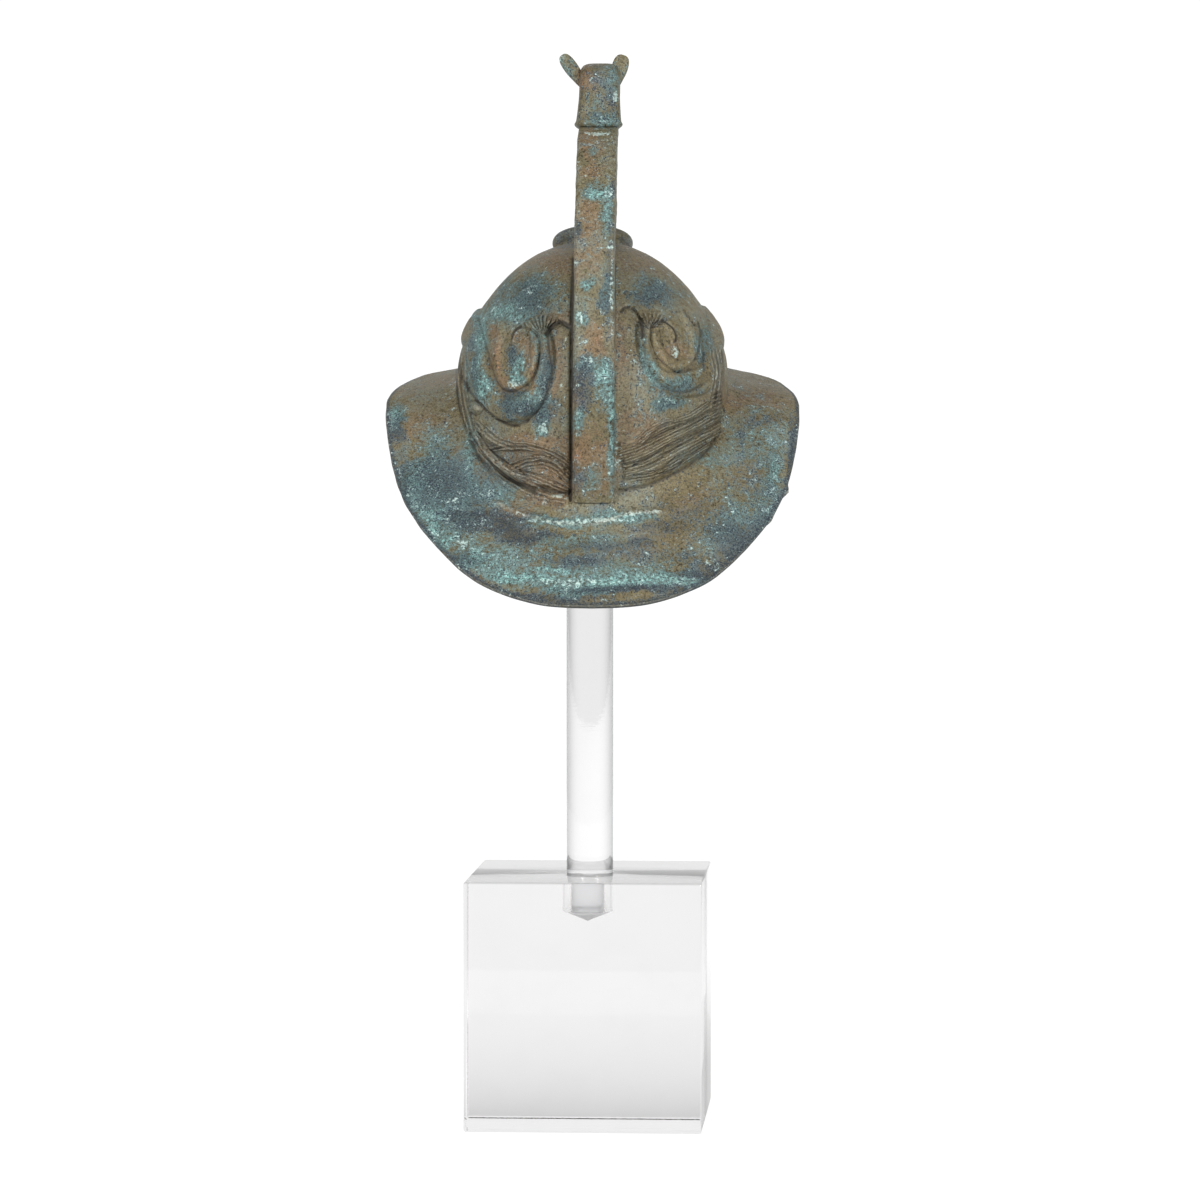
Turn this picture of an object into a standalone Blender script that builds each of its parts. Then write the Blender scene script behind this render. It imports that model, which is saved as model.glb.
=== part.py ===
"""A small bronze gladiator's helmet with a griffin crest, on a clear rod and block.

The helmet's nape faces +Y and its visor faces -Y. The origin is the middle of the block's underside.
Lengths are in metres, and angles round the helmet are counted from its nape towards +X.
"""

import math

import bmesh
import bpy
import numpy as np
from mathutils import Matrix, Vector

MM = 0.001

# Clear stand
BLOCK_WIDTH = 95 * MM
BLOCK_HEIGHT = 100 * MM
BLOCK_EDGE = 0.8 * MM
BLOCK_TURN = math.radians(-3.6)
ROD_DIAMETER = 19 * MM
ROD_SUNK = 16 * MM
ROD_SLACK = 0.3 * MM
ROD_CROWN_GAP = 0.6 * MM
ROD_TOP_RISE = 3 * MM
DRILL_TIP = 4 * MM
DRILL_LEAD = 5 * MM

# Where the helmet sits
BOWL_CENTRE_HEIGHT = 302 * MM
HELMET_SHIFT = -1.1 * MM
HELMET_TILT = math.radians(12)

# Bowl and brim
BOWL_HALF_WIDTH = 54.8 * MM
BOWL_HALF_LENGTH = 60 * MM
BOWL_RISE = 54 * MM
BOWL_SHOULDER = 0.07  # share by which the dome draws in between its foot and its crown
BOWL_WALL = 2.5 * MM
BRIM_WALL = 2.3 * MM
BRIM_HALF_WIDTH = 83.7 * MM
BRIM_BACK_REACH = 99 * MM
BRIM_FRONT_REACH = 86 * MM
BRIM_DROP = 71 * MM
BRIM_ROUNDING = 0.35  # share of the wall by which the brim's edge bulges
BEAD_RAISE = 0.8 * MM
SEAT_GAP = 0.3 * MM

# Cast relief
TAIL_HALF_WIDTH = 6.6 * MM
TAIL_RAISE = 2.2 * MM
COIL_HALF_WIDTH = 2.6 * MM
COIL_RAISE = 1.7 * MM
RAY_HALF_WIDTH = 1.9 * MM
RAY_RAISE = 1.6 * MM
WAVE_HALF_WIDTH = 2.3 * MM
WAVE_RAISE = 1.1 * MM
RELIEF_FADE = 1.2 * MM

# Crest and head
CREST_THICKNESS = 15.8 * MM
CREST_HEIGHT = 101 * MM
CREST_EDGE = 1.2 * MM
HEAD_HALF_WIDTH = 8.3 * MM
HEAD_HEIGHT = 27 * MM
HEAD_LENGTH = 40 * MM
HEAD_LEAN = math.radians(2)
EAR_LENGTH = 15 * MM
EAR_HALF_WIDTH = 2.8 * MM

# Medallion over the brow
MEDALLION_RADIUS = 16.5 * MM
MEDALLION_PROUD = 5 * MM
MEDALLION_DEPTH = 6 * MM
MEDALLION_RIM = 1.2 * MM
MEDALLION_ELEVATION = math.radians(60)

# Visor
VISOR_WALL = 2 * MM
VISOR_DROP = 74 * MM
VISOR_FLANGE = 13 * MM
VISOR_PARTING = math.radians(0.6)
VISOR_REAR = math.radians(94)
VISOR_FULL = math.radians(160)
VISOR_REAR_SHARE = 0.66  # the leaf's depth at its rear, as a share of its depth in front
EYE_ANGLE = math.radians(152)
EYE_DROP_SHARE = 0.36
EYE_RADIUS = 13 * MM
EYE_RING = 1.9 * MM
EYE_HOLE_RADIUS = 2.5 * MM
EYE_HOLE_PITCH = 7.4 * MM
EYE_HOLE_ROWS = 2  # rows of holes on each side of the middle one
EYE_PROBE = 0.02

# Mesh fineness
ROUND_SIDES = 28
HEAD_SIDES = 14
EAR_SIDES = 8
EYE_SIDES = 20
EYE_RING_SIDES = 6
HOLE_SIDES = 8
VISOR_COLUMNS = 14
ROD_CROWN_STEPS = 4
PATH_STEPS = 10
SECTION_STEPS = 2
FINE_ARC = math.radians(94)
FINE_COLUMNS = 62
COARSE_COLUMNS = 14
CROWN_ROWS = 7
SHOULDER_ROWS = 15
BAND_ROWS = 12
BRIM_STATIONS = (2.06, 2.14, 2.24, 2.34, 2.55, 2.78, 3.0)
INNER_STATIONS = (3.0, 2.55, 2.1, 2.0, 1.5, 1.0, 0.875, 0.75, 0.625, 0.5, 0.375, 0.25, 0.125, 0.0)
WELD = 1e-6
PROBE = 1e-3  # step to the side, in radians or stations, to find the skin's slope
END_MARGIN = 0.02  # stations at the crown and the edge where the slope isn't read
SHARP_ANGLE = math.radians(35)

# Degrees from the nape, and the base of the bowl as a share of its rise
BASE_LINE = (
    (0, -0.665), (20, -0.655), (33, -0.62), (45, -0.52), (57, -0.42), (68, -0.31), (80, -0.17), (92, -0.10),
    (120, -0.06), (180, -0.05),
)

# Degrees from the nape, and the fall of the brim's edge as a share of the drop
EDGE_LINE = (
    (0, 1.0), (15, 0.99), (25, 0.955), (35, 0.895), (45, 0.79), (55, 0.685), (65, 0.565), (75, 0.40),
    (84, 0.25), (94, 0.17), (108, 0.145), (140, 0.14), (180, 0.135),
)

# Share of the way out over the brim, and share of its fall
BRIM_PROFILE = ((0, 0), (0.06, 0.11), (0.2, 0.27), (0.42, 0.47), (0.7, 0.72), (1, 1))

# Degrees from the nape, height as a share of the bowl's rise, and half width as a share of the strand's
LEFT_TAIL = (
    (86, 0.36, 1.0), (69, 0.33, 1.0), (61, 0.24, 1.0), (55, 0.11, 0.95), (49, 0.0, 0.9), (41, -0.07, 0.82),
    (33, -0.06, 0.75), (27, 0.0, 0.7), (22.5, 0.10, 0.62), (20.6, 0.22, 0.55), (20.7, 0.34, 0.5),
    (22.5, 0.43, 0.45), (24.5, 0.49, 0.4),
)
RIGHT_TAIL = (
    (-92, 0.38, 1.0), (-74, 0.31, 1.0), (-65, 0.20, 0.95), (-57, 0.11, 0.9), (-48, 0.09, 0.82),
    (-38, 0.11, 0.72), (-31, 0.20, 0.62), (-26, 0.30, 0.55), (-25, 0.41, 0.5), (-26, 0.49, 0.45),
    (-28, 0.54, 0.4),
)
LEFT_COIL = (
    (40, 0.40, 0.6), (40.6, 0.47, 0.8), (36.4, 0.515, 1.0), (30.4, 0.49, 1.0), (27.5, 0.42, 1.0),
    (27, 0.31, 1.0), (28.5, 0.20, 1.0), (32, 0.12, 1.0), (37, 0.11, 1.0), (42, 0.15, 1.0),
    (45.5, 0.24, 1.0), (48, 0.34, 1.0), (50, 0.44, 0.9), (53, 0.5, 0.6),
)
RIGHT_COIL = (
    (-42.3, 0.40, 0.6), (-42.4, 0.47, 0.8), (-38.5, 0.52, 1.0), (-33.5, 0.50, 1.0), (-31.5, 0.43, 1.0),
    (-32.5, 0.34, 1.0), (-36, 0.27, 1.0), (-41, 0.235, 1.0), (-47, 0.25, 1.0), (-52, 0.31, 1.0),
    (-55, 0.40, 1.0), (-55.5, 0.48, 0.9), (-54.5, 0.56, 0.6),
)
WAVES = (
    ((55, -0.27, 0.6), (50, -0.32, 1.0), (43, -0.335, 1.0), (38, -0.32, 0.5)),
    ((48, -0.40, 0.5), (40, -0.35, 1.0), (34, -0.325, 1.0), (22, -0.33, 1.0), (13, -0.38, 0.5)),
    ((35, -0.46, 0.5), (30, -0.41, 1.0), (21, -0.40, 1.0), (12, -0.46, 0.6)),
    ((62, -0.37, 0.5), (50, -0.44, 1.0), (40, -0.52, 1.0), (28, -0.58, 1.0), (19, -0.59, 0.6)),
    ((-12, -0.29, 0.6), (-23, -0.25, 1.0), (-29, -0.18, 1.0), (-41, -0.16, 1.0), (-59, -0.08, 0.6)),
    ((-14, -0.42, 0.6), (-25, -0.36, 1.0), (-38, -0.28, 1.0), (-52, -0.23, 1.0), (-63, -0.19, 0.6)),
    ((-14, -0.53, 0.6), (-27, -0.49, 1.0), (-37, -0.41, 1.0), (-49, -0.34, 1.0), (-64, -0.30, 0.6)),
)
LEFT_RAY_ROOT = (25, 0.50)
RIGHT_RAY_ROOT = (-28.5, 0.55)
LEFT_RAYS = ((37, 0.545), (31, 0.58), (25, 0.595), (19, 0.60), (14, 0.59))
RIGHT_RAYS = ((-16.5, 0.645), (-21, 0.66), (-26, 0.65), (-32, 0.62))

# Crest sections from the nape to the top: the back edge and the inner edge, each as a share of the bowl's
# half length towards the nape and a share of the crest's height, then the shift to -X as a share of the
# crest's thickness
CREST_SECTIONS = (
    (1.05, -0.38, 0.85, -0.34, 0.04), (1.11, -0.20, 0.84, -0.14, 0.05), (1.14, 0.0, 0.80, 0.04, 0.05),
    (1.12, 0.20, 0.68, 0.18, 0.05), (1.04, 0.40, 0.48, 0.28, 0.05), (0.90, 0.57, 0.20, 0.36, 0.05),
    (0.70, 0.72, -0.12, 0.40, 0.06), (0.46, 0.86, -0.29, 0.52, 0.08), (0.24, 0.945, -0.245, 0.68, 0.11),
    (0.10, 0.98, -0.27, 0.80, 0.13), (-0.033, 1.0, -0.40, 0.955, 0.15),
)

# Head stations: forward as a share of its length, up as a share of its height, lean in degrees,
# half width as a share of the head's, and half depth as a share of its height
HEAD_STATIONS = (
    (0.0, 0.0, 0, 0.95, 0.41), (0.0, 0.12, 0, 1.13, 0.46), (0.0, 0.25, 0, 1.04, 0.42),
    (0.0, 0.42, 8, 0.99, 0.40), (0.02, 0.60, 35, 0.98, 0.41), (0.12, 0.69, 65, 0.98, 0.33),
    (0.30, 0.70, 88, 0.90, 0.28), (0.48, 0.66, 100, 0.70, 0.22), (0.64, 0.58, 116, 0.48, 0.165),
    (0.77, 0.45, 140, 0.27, 0.105), (0.81, 0.31, 160, 0.10, 0.05),
)
HEAD_SQUARENESS = 0.72
# Share of the ear's length, half width share, and half thickness share
EAR_STATIONS = (
    (-0.15, 0.6, 0.5), (0.12, 0.85, 0.6), (0.45, 1.0, 0.5), (0.75, 0.88, 0.38), (0.93, 0.55, 0.28),
    (1.0, 0.2, 0.12),
)
# Side, lean in degrees, and length share
EARS = ((1, 37, 1.0), (-1, 17, 0.88))

# Share of the visor's drop, and scale of its plan
VISOR_PROFILE = ((0, 1.0), (0.2, 1.02), (0.4, 1.03), (0.62, 0.97), (0.82, 0.87), (0.9, 0.84), (1.0, 0.84))
# Share of the visor's drop, and share of its flange
FLANGE_PROFILE = ((0, 0), (0.78, 0), (0.86, 0.08), (0.93, 0.45), (1.0, 1.0))
# Shares of the visor's drop where its rows lie
VISOR_ROWS = (0, 0.12, 0.24, 0.36, 0.48, 0.60, 0.72, 0.80, 0.86, 0.93, 1.0)
# Station on the brim, from 2 at the bowl's foot to 3 at the edge, where the visor hangs
VISOR_STATION = 2.14
# Station of the shallow step round the bowl's foot, and how far it spreads
BEAD_STATION, BEAD_SPREAD = 2.24, 0.1
# Cosines of the angles between which that step fades out towards the front
BEAD_FADE = (0.1, 0.5)

# The medallion's face: share of the radius, and share of the rim by which it lies under the top
MEDALLION_FACE = ((0, 0), (0.16, 0.15), (0.3, 1), (0.72, 1), (0.80, 0), (0.94, 0), (1, 1))
# Where an ear grows from the head: shares of its half width and of its height
EAR_ROOT = (0.82, 0.68)

# Name of the material, base colour, metallic and roughness
BRONZE = ("weathered_bronze", (0.17, 0.17, 0.13), 0.6, 0.62)
CREST_BRONZE = ("crest_bronze", (0.22, 0.20, 0.14), 0.6, 0.6)
VISOR_BRONZE = ("visor_bronze", (0.16, 0.15, 0.11), 0.6, 0.64)
CLEAR_PLASTIC = ("clear_plastic", (0.9, 0.94, 0.95), 0.0, 0.05)


def eased(at, table, column=1):
    """Read a table's column at the given keys, along a smooth curve through its rows."""
    rows = np.array(table, dtype=float)
    keys, values = rows[:, 0], rows[:, column]
    slopes = np.gradient(values, keys)
    at = np.clip(at, keys[0], keys[-1])
    low = np.clip(np.searchsorted(keys, at, side="right") - 1, 0, len(keys) - 2)
    span = keys[low + 1] - keys[low]
    t = (at - keys[low]) / span
    start = (2 * t**3 - 3 * t**2 + 1) * values[low] + (t**3 - 2 * t**2 + t) * span * slopes[low]
    end = (3 * t**2 - 2 * t**3) * values[low + 1] + (t**3 - t**2) * span * slopes[low + 1]
    return start + end


def smooth_path(rows, steps=PATH_STEPS):
    """Put further rows between a path's rows, on a smooth curve through them."""
    numbered = [(index, *row) for index, row in enumerate(rows)]
    at = np.linspace(0, len(rows) - 1, steps * (len(rows) - 1) + 1)
    return np.stack([eased(at, numbered, column + 1) for column in range(len(rows[0]))], axis=1)


def smooth_step(value, low, high):
    """Rise from 0 at low to 1 at high with level ends."""
    t = np.clip((value - low) / (high - low), 0, 1)
    return t * t * (3 - 2 * t)


def base_share(angle):
    """Give the height of the bowl's base at an angle, as a share of the bowl's rise."""
    return eased(np.degrees(np.abs(angle)), BASE_LINE)


def dome_width(height):
    """Give the dome's width at a height, both as shares."""
    height = np.clip(height, 0, 1)
    return np.sqrt(1 - height**2) * (1 - BOWL_SHOULDER * 4 * height**2 * (1 - height**2))


def on_bowl(degrees, height):
    """Place a point on the bowl from its degrees and its height as a share of the rise."""
    angle = np.radians(degrees)
    wide = dome_width(height)
    x = BOWL_HALF_WIDTH * np.sin(angle) * wide
    y = BOWL_HALF_LENGTH * np.cos(angle) * wide
    return np.stack([x, y, BOWL_RISE * height], axis=-1)


def shell_surface(angle, station):
    """Place points on the plain outer skin: station 0 to 1 is the dome, to 2 its band and to 3 the brim."""
    angle = np.asarray(angle, dtype=float)
    turn = (angle + math.pi) % (2 * math.pi) - math.pi
    elevation = np.clip(1 - station, 0, 1) * math.pi / 2
    down = np.clip(station - 1, 0, 1)
    out = np.clip(station - 2, 0, None)
    base = base_share(turn)
    reach = np.where(np.cos(turn) > 0, BRIM_BACK_REACH, BRIM_FRONT_REACH)
    edge = -BRIM_DROP * eased(np.degrees(np.abs(turn)), EDGE_LINE)
    fall = eased(out, BRIM_PROFILE) + np.clip(out - 1, 0, None)
    wide = dome_width(np.sin(elevation))
    x = (BOWL_HALF_WIDTH * wide + (BRIM_HALF_WIDTH - BOWL_HALF_WIDTH) * out) * np.sin(turn)
    y = (BOWL_HALF_LENGTH * wide + (reach - BOWL_HALF_LENGTH) * out) * np.cos(turn)
    z = BOWL_RISE * (np.sin(elevation) + base * down)
    return np.stack([x, y, z + (edge - BOWL_RISE * base) * fall], axis=-1)


def shell_normal(angle, station):
    """Give the outward normals of the plain outer skin."""
    at_crown = np.asarray(station) < PROBE
    station = np.clip(station, END_MARGIN, 3 - END_MARGIN)
    along = shell_surface(angle + PROBE, station) - shell_surface(angle - PROBE, station)
    down = shell_surface(angle, station + PROBE) - shell_surface(angle, station - PROBE)
    normal = np.cross(along, down)
    normal = normal / np.linalg.norm(normal, axis=-1, keepdims=True)
    return np.where(at_crown[..., None], np.array([0.0, 0.0, 1.0]), normal)


def strands():
    """List the cast strands as points on the bowl, half widths and raises."""
    made = []
    for rows, half_width, lift in (
        (LEFT_TAIL, TAIL_HALF_WIDTH, TAIL_RAISE),
        (RIGHT_TAIL, TAIL_HALF_WIDTH, TAIL_RAISE),
        (LEFT_COIL, COIL_HALF_WIDTH, COIL_RAISE),
        (RIGHT_COIL, COIL_HALF_WIDTH, COIL_RAISE),
        *((wave, WAVE_HALF_WIDTH, WAVE_RAISE) for wave in WAVES),
    ):
        path = smooth_path(rows)
        made.append((on_bowl(path[:, 0], path[:, 1]), path[:, 2] * half_width, lift))
    for root, tips in ((LEFT_RAY_ROOT, LEFT_RAYS), (RIGHT_RAY_ROOT, RIGHT_RAYS)):
        for tip in tips:
            path = smooth_path((root, tip))
            made.append((on_bowl(path[:, 0], path[:, 1]), np.full(len(path), RAY_HALF_WIDTH), RAY_RAISE))
    return made


def relief(points):
    """Give how far the cast relief stands out at points of the bowl."""
    raised = np.zeros(len(points))
    for path, half_width, lift in strands():
        away = np.linalg.norm(points[:, None, :] - path[None, :, :], axis=2) / half_width[None, :]
        raised = np.maximum(raised, lift * np.clip(1 - away.min(axis=1) ** 2, 0, 1))
    clear_of_crest = CREST_THICKNESS / 2 + SEAT_GAP
    beside_crest = smooth_step(np.abs(points[:, 0]), clear_of_crest, clear_of_crest + RELIEF_FADE)
    return raised * beside_crest


def bead(angle, station):
    """Give how far the shallow step round the foot of the bowl stands out of the brim."""
    across = np.clip(1 - ((station - BEAD_STATION) / BEAD_SPREAD) ** 2, 0, 1)
    return BEAD_RAISE * across * smooth_step(np.cos(angle), *BEAD_FADE)


def column_angles():
    """List the angles round the helmet, close together where the relief is."""
    fine = np.linspace(-FINE_ARC, FINE_ARC, FINE_COLUMNS + 1)
    coarse = np.linspace(FINE_ARC, 2 * math.pi - FINE_ARC, COARSE_COLUMNS + 1)[1:]
    return np.concatenate([fine, coarse])


def outer_stations():
    """List the stations of the outer skin's rows from the crown to the brim's edge."""
    crown = np.linspace(0, 0.5, CROWN_ROWS)
    shoulder = np.linspace(0.5, 1, SHOULDER_ROWS)[1:]
    band = np.linspace(1, 2, BAND_ROWS)[1:]
    return np.concatenate([crown, shoulder, band, BRIM_STATIONS])


def wrapped_grid(columns, rows, place):
    """Make a mesh from a grid whose vertices are placed by column and row, and weld its seams."""
    body = bmesh.new()
    bmesh.ops.create_grid(body, x_segments=columns - 1, y_segments=rows - 1, size=0.5)
    for vert in body.verts:
        column = round((vert.co.x + 0.5) * (columns - 1))
        row = round((vert.co.y + 0.5) * (rows - 1))
        vert.co = place(column, row)
    bmesh.ops.remove_doubles(body, verts=body.verts, dist=WELD)
    bmesh.ops.recalc_face_normals(body, faces=body.faces)
    return body


def make_material(finish):
    """Make or find the material of a finish."""
    name, colour, metallic, roughness = finish
    material = bpy.data.materials.get(name)
    if material is None:
        material = bpy.data.materials.new(name)
        material.use_nodes = True
        shader = material.node_tree.nodes["Principled BSDF"]
        shader.inputs["Base Color"].default_value = (*colour, 1)
        shader.inputs["Metallic"].default_value = metallic
        shader.inputs["Roughness"].default_value = roughness
    return material


def add_object(name, body, group, finish=None, parent=None):
    """Turn a bmesh into an object of a collection, shaded smooth with its edges kept."""
    mesh = bpy.data.meshes.new(name)
    body.to_mesh(mesh)
    body.free()
    mesh.shade_smooth()
    mesh.set_sharp_from_angle(angle=SHARP_ANGLE)
    made = bpy.data.objects.new(name, mesh)
    group.objects.link(made)
    made.parent = parent
    if finish is None:
        made.hide_render = True
        made.display_type = "WIRE"
    else:
        mesh.materials.append(make_material(finish))
    return made


def cut(target, cutter, operation="DIFFERENCE"):
    """Cut a piece with a cutter, or join the cutter to it."""
    boolean = target.modifiers.new(operation.lower(), "BOOLEAN")
    boolean.operation = operation
    boolean.solver = "EXACT"
    boolean.object = cutter
    return boolean


def turned(profile, sides=ROUND_SIDES):
    """Spin a profile of radius and height pairs, from top to bottom, into a closed body."""
    body = bmesh.new()
    verts = [body.verts.new((radius, 0, height)) for radius, height in profile]
    edges = [body.edges.new(pair) for pair in zip(verts, verts[1:])]
    bmesh.ops.spin(
        body, geom=verts + edges, cent=(0, 0, 0), axis=(0, 0, 1), angle=2 * math.pi, steps=sides,
        use_merge=True,
    )
    bmesh.ops.remove_doubles(body, verts=body.verts, dist=WELD)
    bmesh.ops.recalc_face_normals(body, faces=body.faces)
    return body


def lofted(rings):
    """Join rings of equal counts one after another and close both ends."""
    body = bmesh.new()
    loops = [[body.verts.new(point) for point in ring] for ring in rings]
    for low, high in zip(loops, loops[1:]):
        for index in range(len(low)):
            after = (index + 1) % len(low)
            body.faces.new((low[index], low[after], high[after], high[index]))
    body.faces.new(loops[0])
    body.faces.new(loops[-1])
    bmesh.ops.recalc_face_normals(body, faces=body.faces)
    return body


def build_helmet_shell(group, parent):
    """Make the bowl, its brim and the cast relief, which are one casting."""
    angles = column_angles()
    angle, station = np.meshgrid(angles, outer_stations())
    plain = shell_surface(angle, station)
    normal = shell_normal(angle, station)
    lift = bead(angle, station)
    near = (station <= 2) & (np.abs((angle + math.pi) % (2 * math.pi) - math.pi) < FINE_ARC)
    lift[near] += relief(plain[near])
    outside = plain + normal * lift[..., None]
    inner_angle, inner_station = np.meshgrid(angles, INNER_STATIONS)
    wall = np.where(inner_station > 2, BRIM_WALL, BOWL_WALL)[..., None]
    inside = shell_surface(inner_angle, inner_station) - shell_normal(inner_angle, inner_station) * wall
    rim = (outside[-1] + inside[0]) / 2
    out = rim * np.array([1, 1, 0])
    rim = rim + out / np.linalg.norm(out, axis=1, keepdims=True) * BRIM_WALL * BRIM_ROUNDING
    rows = np.concatenate([outside, rim[None], inside])
    body = wrapped_grid(len(angles), len(rows), lambda column, row: rows[row, column])
    return add_object("helmet_shell", body, group, BRONZE, parent)


def build_seat_cutter(group, parent):
    """Make the space that the shell fills and a small gap over it, to seat other pieces on it."""
    angles = column_angles()
    angle, station = np.meshgrid(angles, outer_stations())
    above = SEAT_GAP + bead(angle, station)
    skin = shell_surface(angle, station) + shell_normal(angle, station) * above[..., None]
    foot = np.zeros((1, len(angles), 3))
    foot[..., 2] = -BRIM_DROP
    rows = np.concatenate([skin, foot])
    body = wrapped_grid(len(angles), len(rows), lambda column, row: rows[row, column])
    return add_object("seat_cutter", body, group, parent=parent)


def build_crest(group, parent, seat):
    """Make the crest, a thick fin that rises from the nape over the crown to the head's collar."""
    half = CREST_THICKNESS / 2
    rings = []
    for back_y, back_z, front_y, front_z, shift in smooth_path(CREST_SECTIONS, SECTION_STEPS):
        back = Vector((-shift * CREST_THICKNESS, back_y * BOWL_HALF_LENGTH, back_z * CREST_HEIGHT))
        front = Vector((-shift * CREST_THICKNESS, front_y * BOWL_HALF_LENGTH, front_z * CREST_HEIGHT))
        inward = (front - back).normalized() * CREST_EDGE
        side, narrow = Vector((half, 0, 0)), Vector((half - CREST_EDGE, 0, 0))
        rings.append([
            back - narrow, back + narrow, back + side + inward, front + side - inward,
            front + narrow, front - narrow, front - side - inward, back - side + inward,
        ])
    crest = add_object("crest", lofted(rings), group, CREST_BRONZE, parent)
    cut(crest, seat)
    return crest


def crest_top():
    """Give the frame of the crest's top face, whose Z stands on it and whose -Y faces forward."""
    back_y, back_z, front_y, front_z, shift = CREST_SECTIONS[-1]
    back = Vector((-shift * CREST_THICKNESS, back_y * BOWL_HALF_LENGTH, back_z * CREST_HEIGHT))
    front = Vector((-shift * CREST_THICKNESS, front_y * BOWL_HALF_LENGTH, front_z * CREST_HEIGHT))
    slope = math.atan2(back.z - front.z, back.y - front.y)
    return Matrix.Translation((back + front) / 2) @ Matrix.Rotation(slope, 4, "X")


def oval(half_width, half_depth, sides, squareness, frame):
    """Place an oval's points with a frame whose X is its width and whose Y is its depth."""
    points = []
    for index in range(sides):
        turn = 2 * math.pi * (index + 0.5) / sides
        across = math.copysign(abs(math.cos(turn)) ** squareness, math.cos(turn))
        along = math.copysign(abs(math.sin(turn)) ** squareness, math.sin(turn))
        points.append(frame @ Vector((half_width * across, half_depth * along, 0)))
    return points


def build_griffin_head(group, cutters, parent):
    """Make the head with its flared neck, beak and ears, cast in one."""
    place = crest_top() @ Matrix.Translation((0, 0, SEAT_GAP))
    rings = []
    for forward, up, lean, half_width, half_depth in smooth_path(HEAD_STATIONS, SECTION_STEPS):
        sideways = -up * HEAD_HEIGHT * math.tan(HEAD_LEAN)
        frame = (
            place
            @ Matrix.Translation((sideways, -forward * HEAD_LENGTH, up * HEAD_HEIGHT))
            @ Matrix.Rotation(math.radians(lean), 4, "X")
        )
        half_size = (half_width * HEAD_HALF_WIDTH, half_depth * HEAD_HEIGHT)
        rings.append(oval(*half_size, HEAD_SIDES, HEAD_SQUARENESS, frame))
    head = add_object("griffin_head", lofted(rings), group, CREST_BRONZE, parent)

    for side, lean, length in EARS:
        across, up = EAR_ROOT
        root = place @ Matrix.Translation((side * HEAD_HALF_WIDTH * across, 0, HEAD_HEIGHT * up))
        root = root @ Matrix.Rotation(math.radians(side * lean), 4, "Y")
        rings = [
            oval(
                wide * EAR_HALF_WIDTH, deep * EAR_HALF_WIDTH, EAR_SIDES, 1,
                root @ Matrix.Translation((0, 0, along * length * EAR_LENGTH)),
            )
            for along, wide, deep in EAR_STATIONS
        ]
        ear = add_object("ear_joiner", lofted(rings), cutters, parent=parent)
        cut(head, ear, "UNION")
    return head


def build_medallion(group, cutters, parent, seat, crest):
    """Make the round boss over the brow, seated on the bowl in front of the crest."""
    radius, top = MEDALLION_RADIUS, MEDALLION_PROUD
    face = [(radius * across, top - MEDALLION_RIM * under) for across, under in MEDALLION_FACE]
    profile = [*face, (radius, -MEDALLION_DEPTH), (0, -MEDALLION_DEPTH)]
    room = (
        (0, top + SEAT_GAP), (radius + SEAT_GAP, top + SEAT_GAP), (radius + SEAT_GAP, -MEDALLION_DEPTH),
        (0, -MEDALLION_DEPTH),
    )
    medallion = add_object("front_medallion", turned(profile), group, CREST_BRONZE, parent)
    medallion_room = add_object("medallion_room", turned(room), cutters, parent=parent)
    station = 1 - MEDALLION_ELEVATION / (math.pi / 2)
    normal = Vector(shell_normal(np.array(math.pi), np.array(station)))
    for piece in (medallion, medallion_room):
        piece.location = shell_surface(np.array(math.pi), np.array(station))
        piece.rotation_mode = "QUATERNION"
        piece.rotation_quaternion = Vector((0, 0, 1)).rotation_difference(normal)
    cut(medallion, seat)
    cut(crest, medallion_room)
    return medallion


def visor_point(side, angle, drop, depth):
    """Place a point of a visor leaf, from its top under the brim to its flared foot."""
    top_station = np.full_like(angle, VISOR_STATION)
    top = shell_surface(angle, top_station) - shell_normal(angle, top_station) * (BRIM_WALL + SEAT_GAP)
    scale = eased(drop, VISOR_PROFILE)
    toward_front = smooth_step(angle, VISOR_REAR, VISOR_FULL)
    reach = VISOR_DROP * (VISOR_REAR_SHARE + (1 - VISOR_REAR_SHARE) * toward_front)
    flange = VISOR_FLANGE * eased(drop, FLANGE_PROFILE)
    out = np.stack([top[..., 0], top[..., 1]], axis=-1)
    length = np.linalg.norm(out, axis=-1, keepdims=True)
    plan = out * scale[..., None] + out / length * (flange - depth)[..., None]
    point = np.concatenate([plan, (top[..., 2] - drop * reach)[..., None]], axis=-1)
    return point * np.array([side, 1, 1])


def eye_frame(side):
    """Give the frame of an eye guard's middle, whose Z faces out of the leaf."""
    centre, ahead, below = (
        Vector(visor_point(side, np.array(angle), np.array(drop), np.array(VISOR_WALL / 2)))
        for angle, drop in (
            (EYE_ANGLE, EYE_DROP_SHARE),
            (EYE_ANGLE + EYE_PROBE, EYE_DROP_SHARE),
            (EYE_ANGLE, EYE_DROP_SHARE + EYE_PROBE),
        )
    )
    across = (ahead - centre).normalized()
    outward = across.cross(below - centre).normalized()
    if outward.y > 0:
        outward = -outward
    upward = outward.cross(across).normalized()
    frame = Matrix((across, upward, outward)).transposed().to_4x4()
    frame.translation = centre
    return frame


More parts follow.
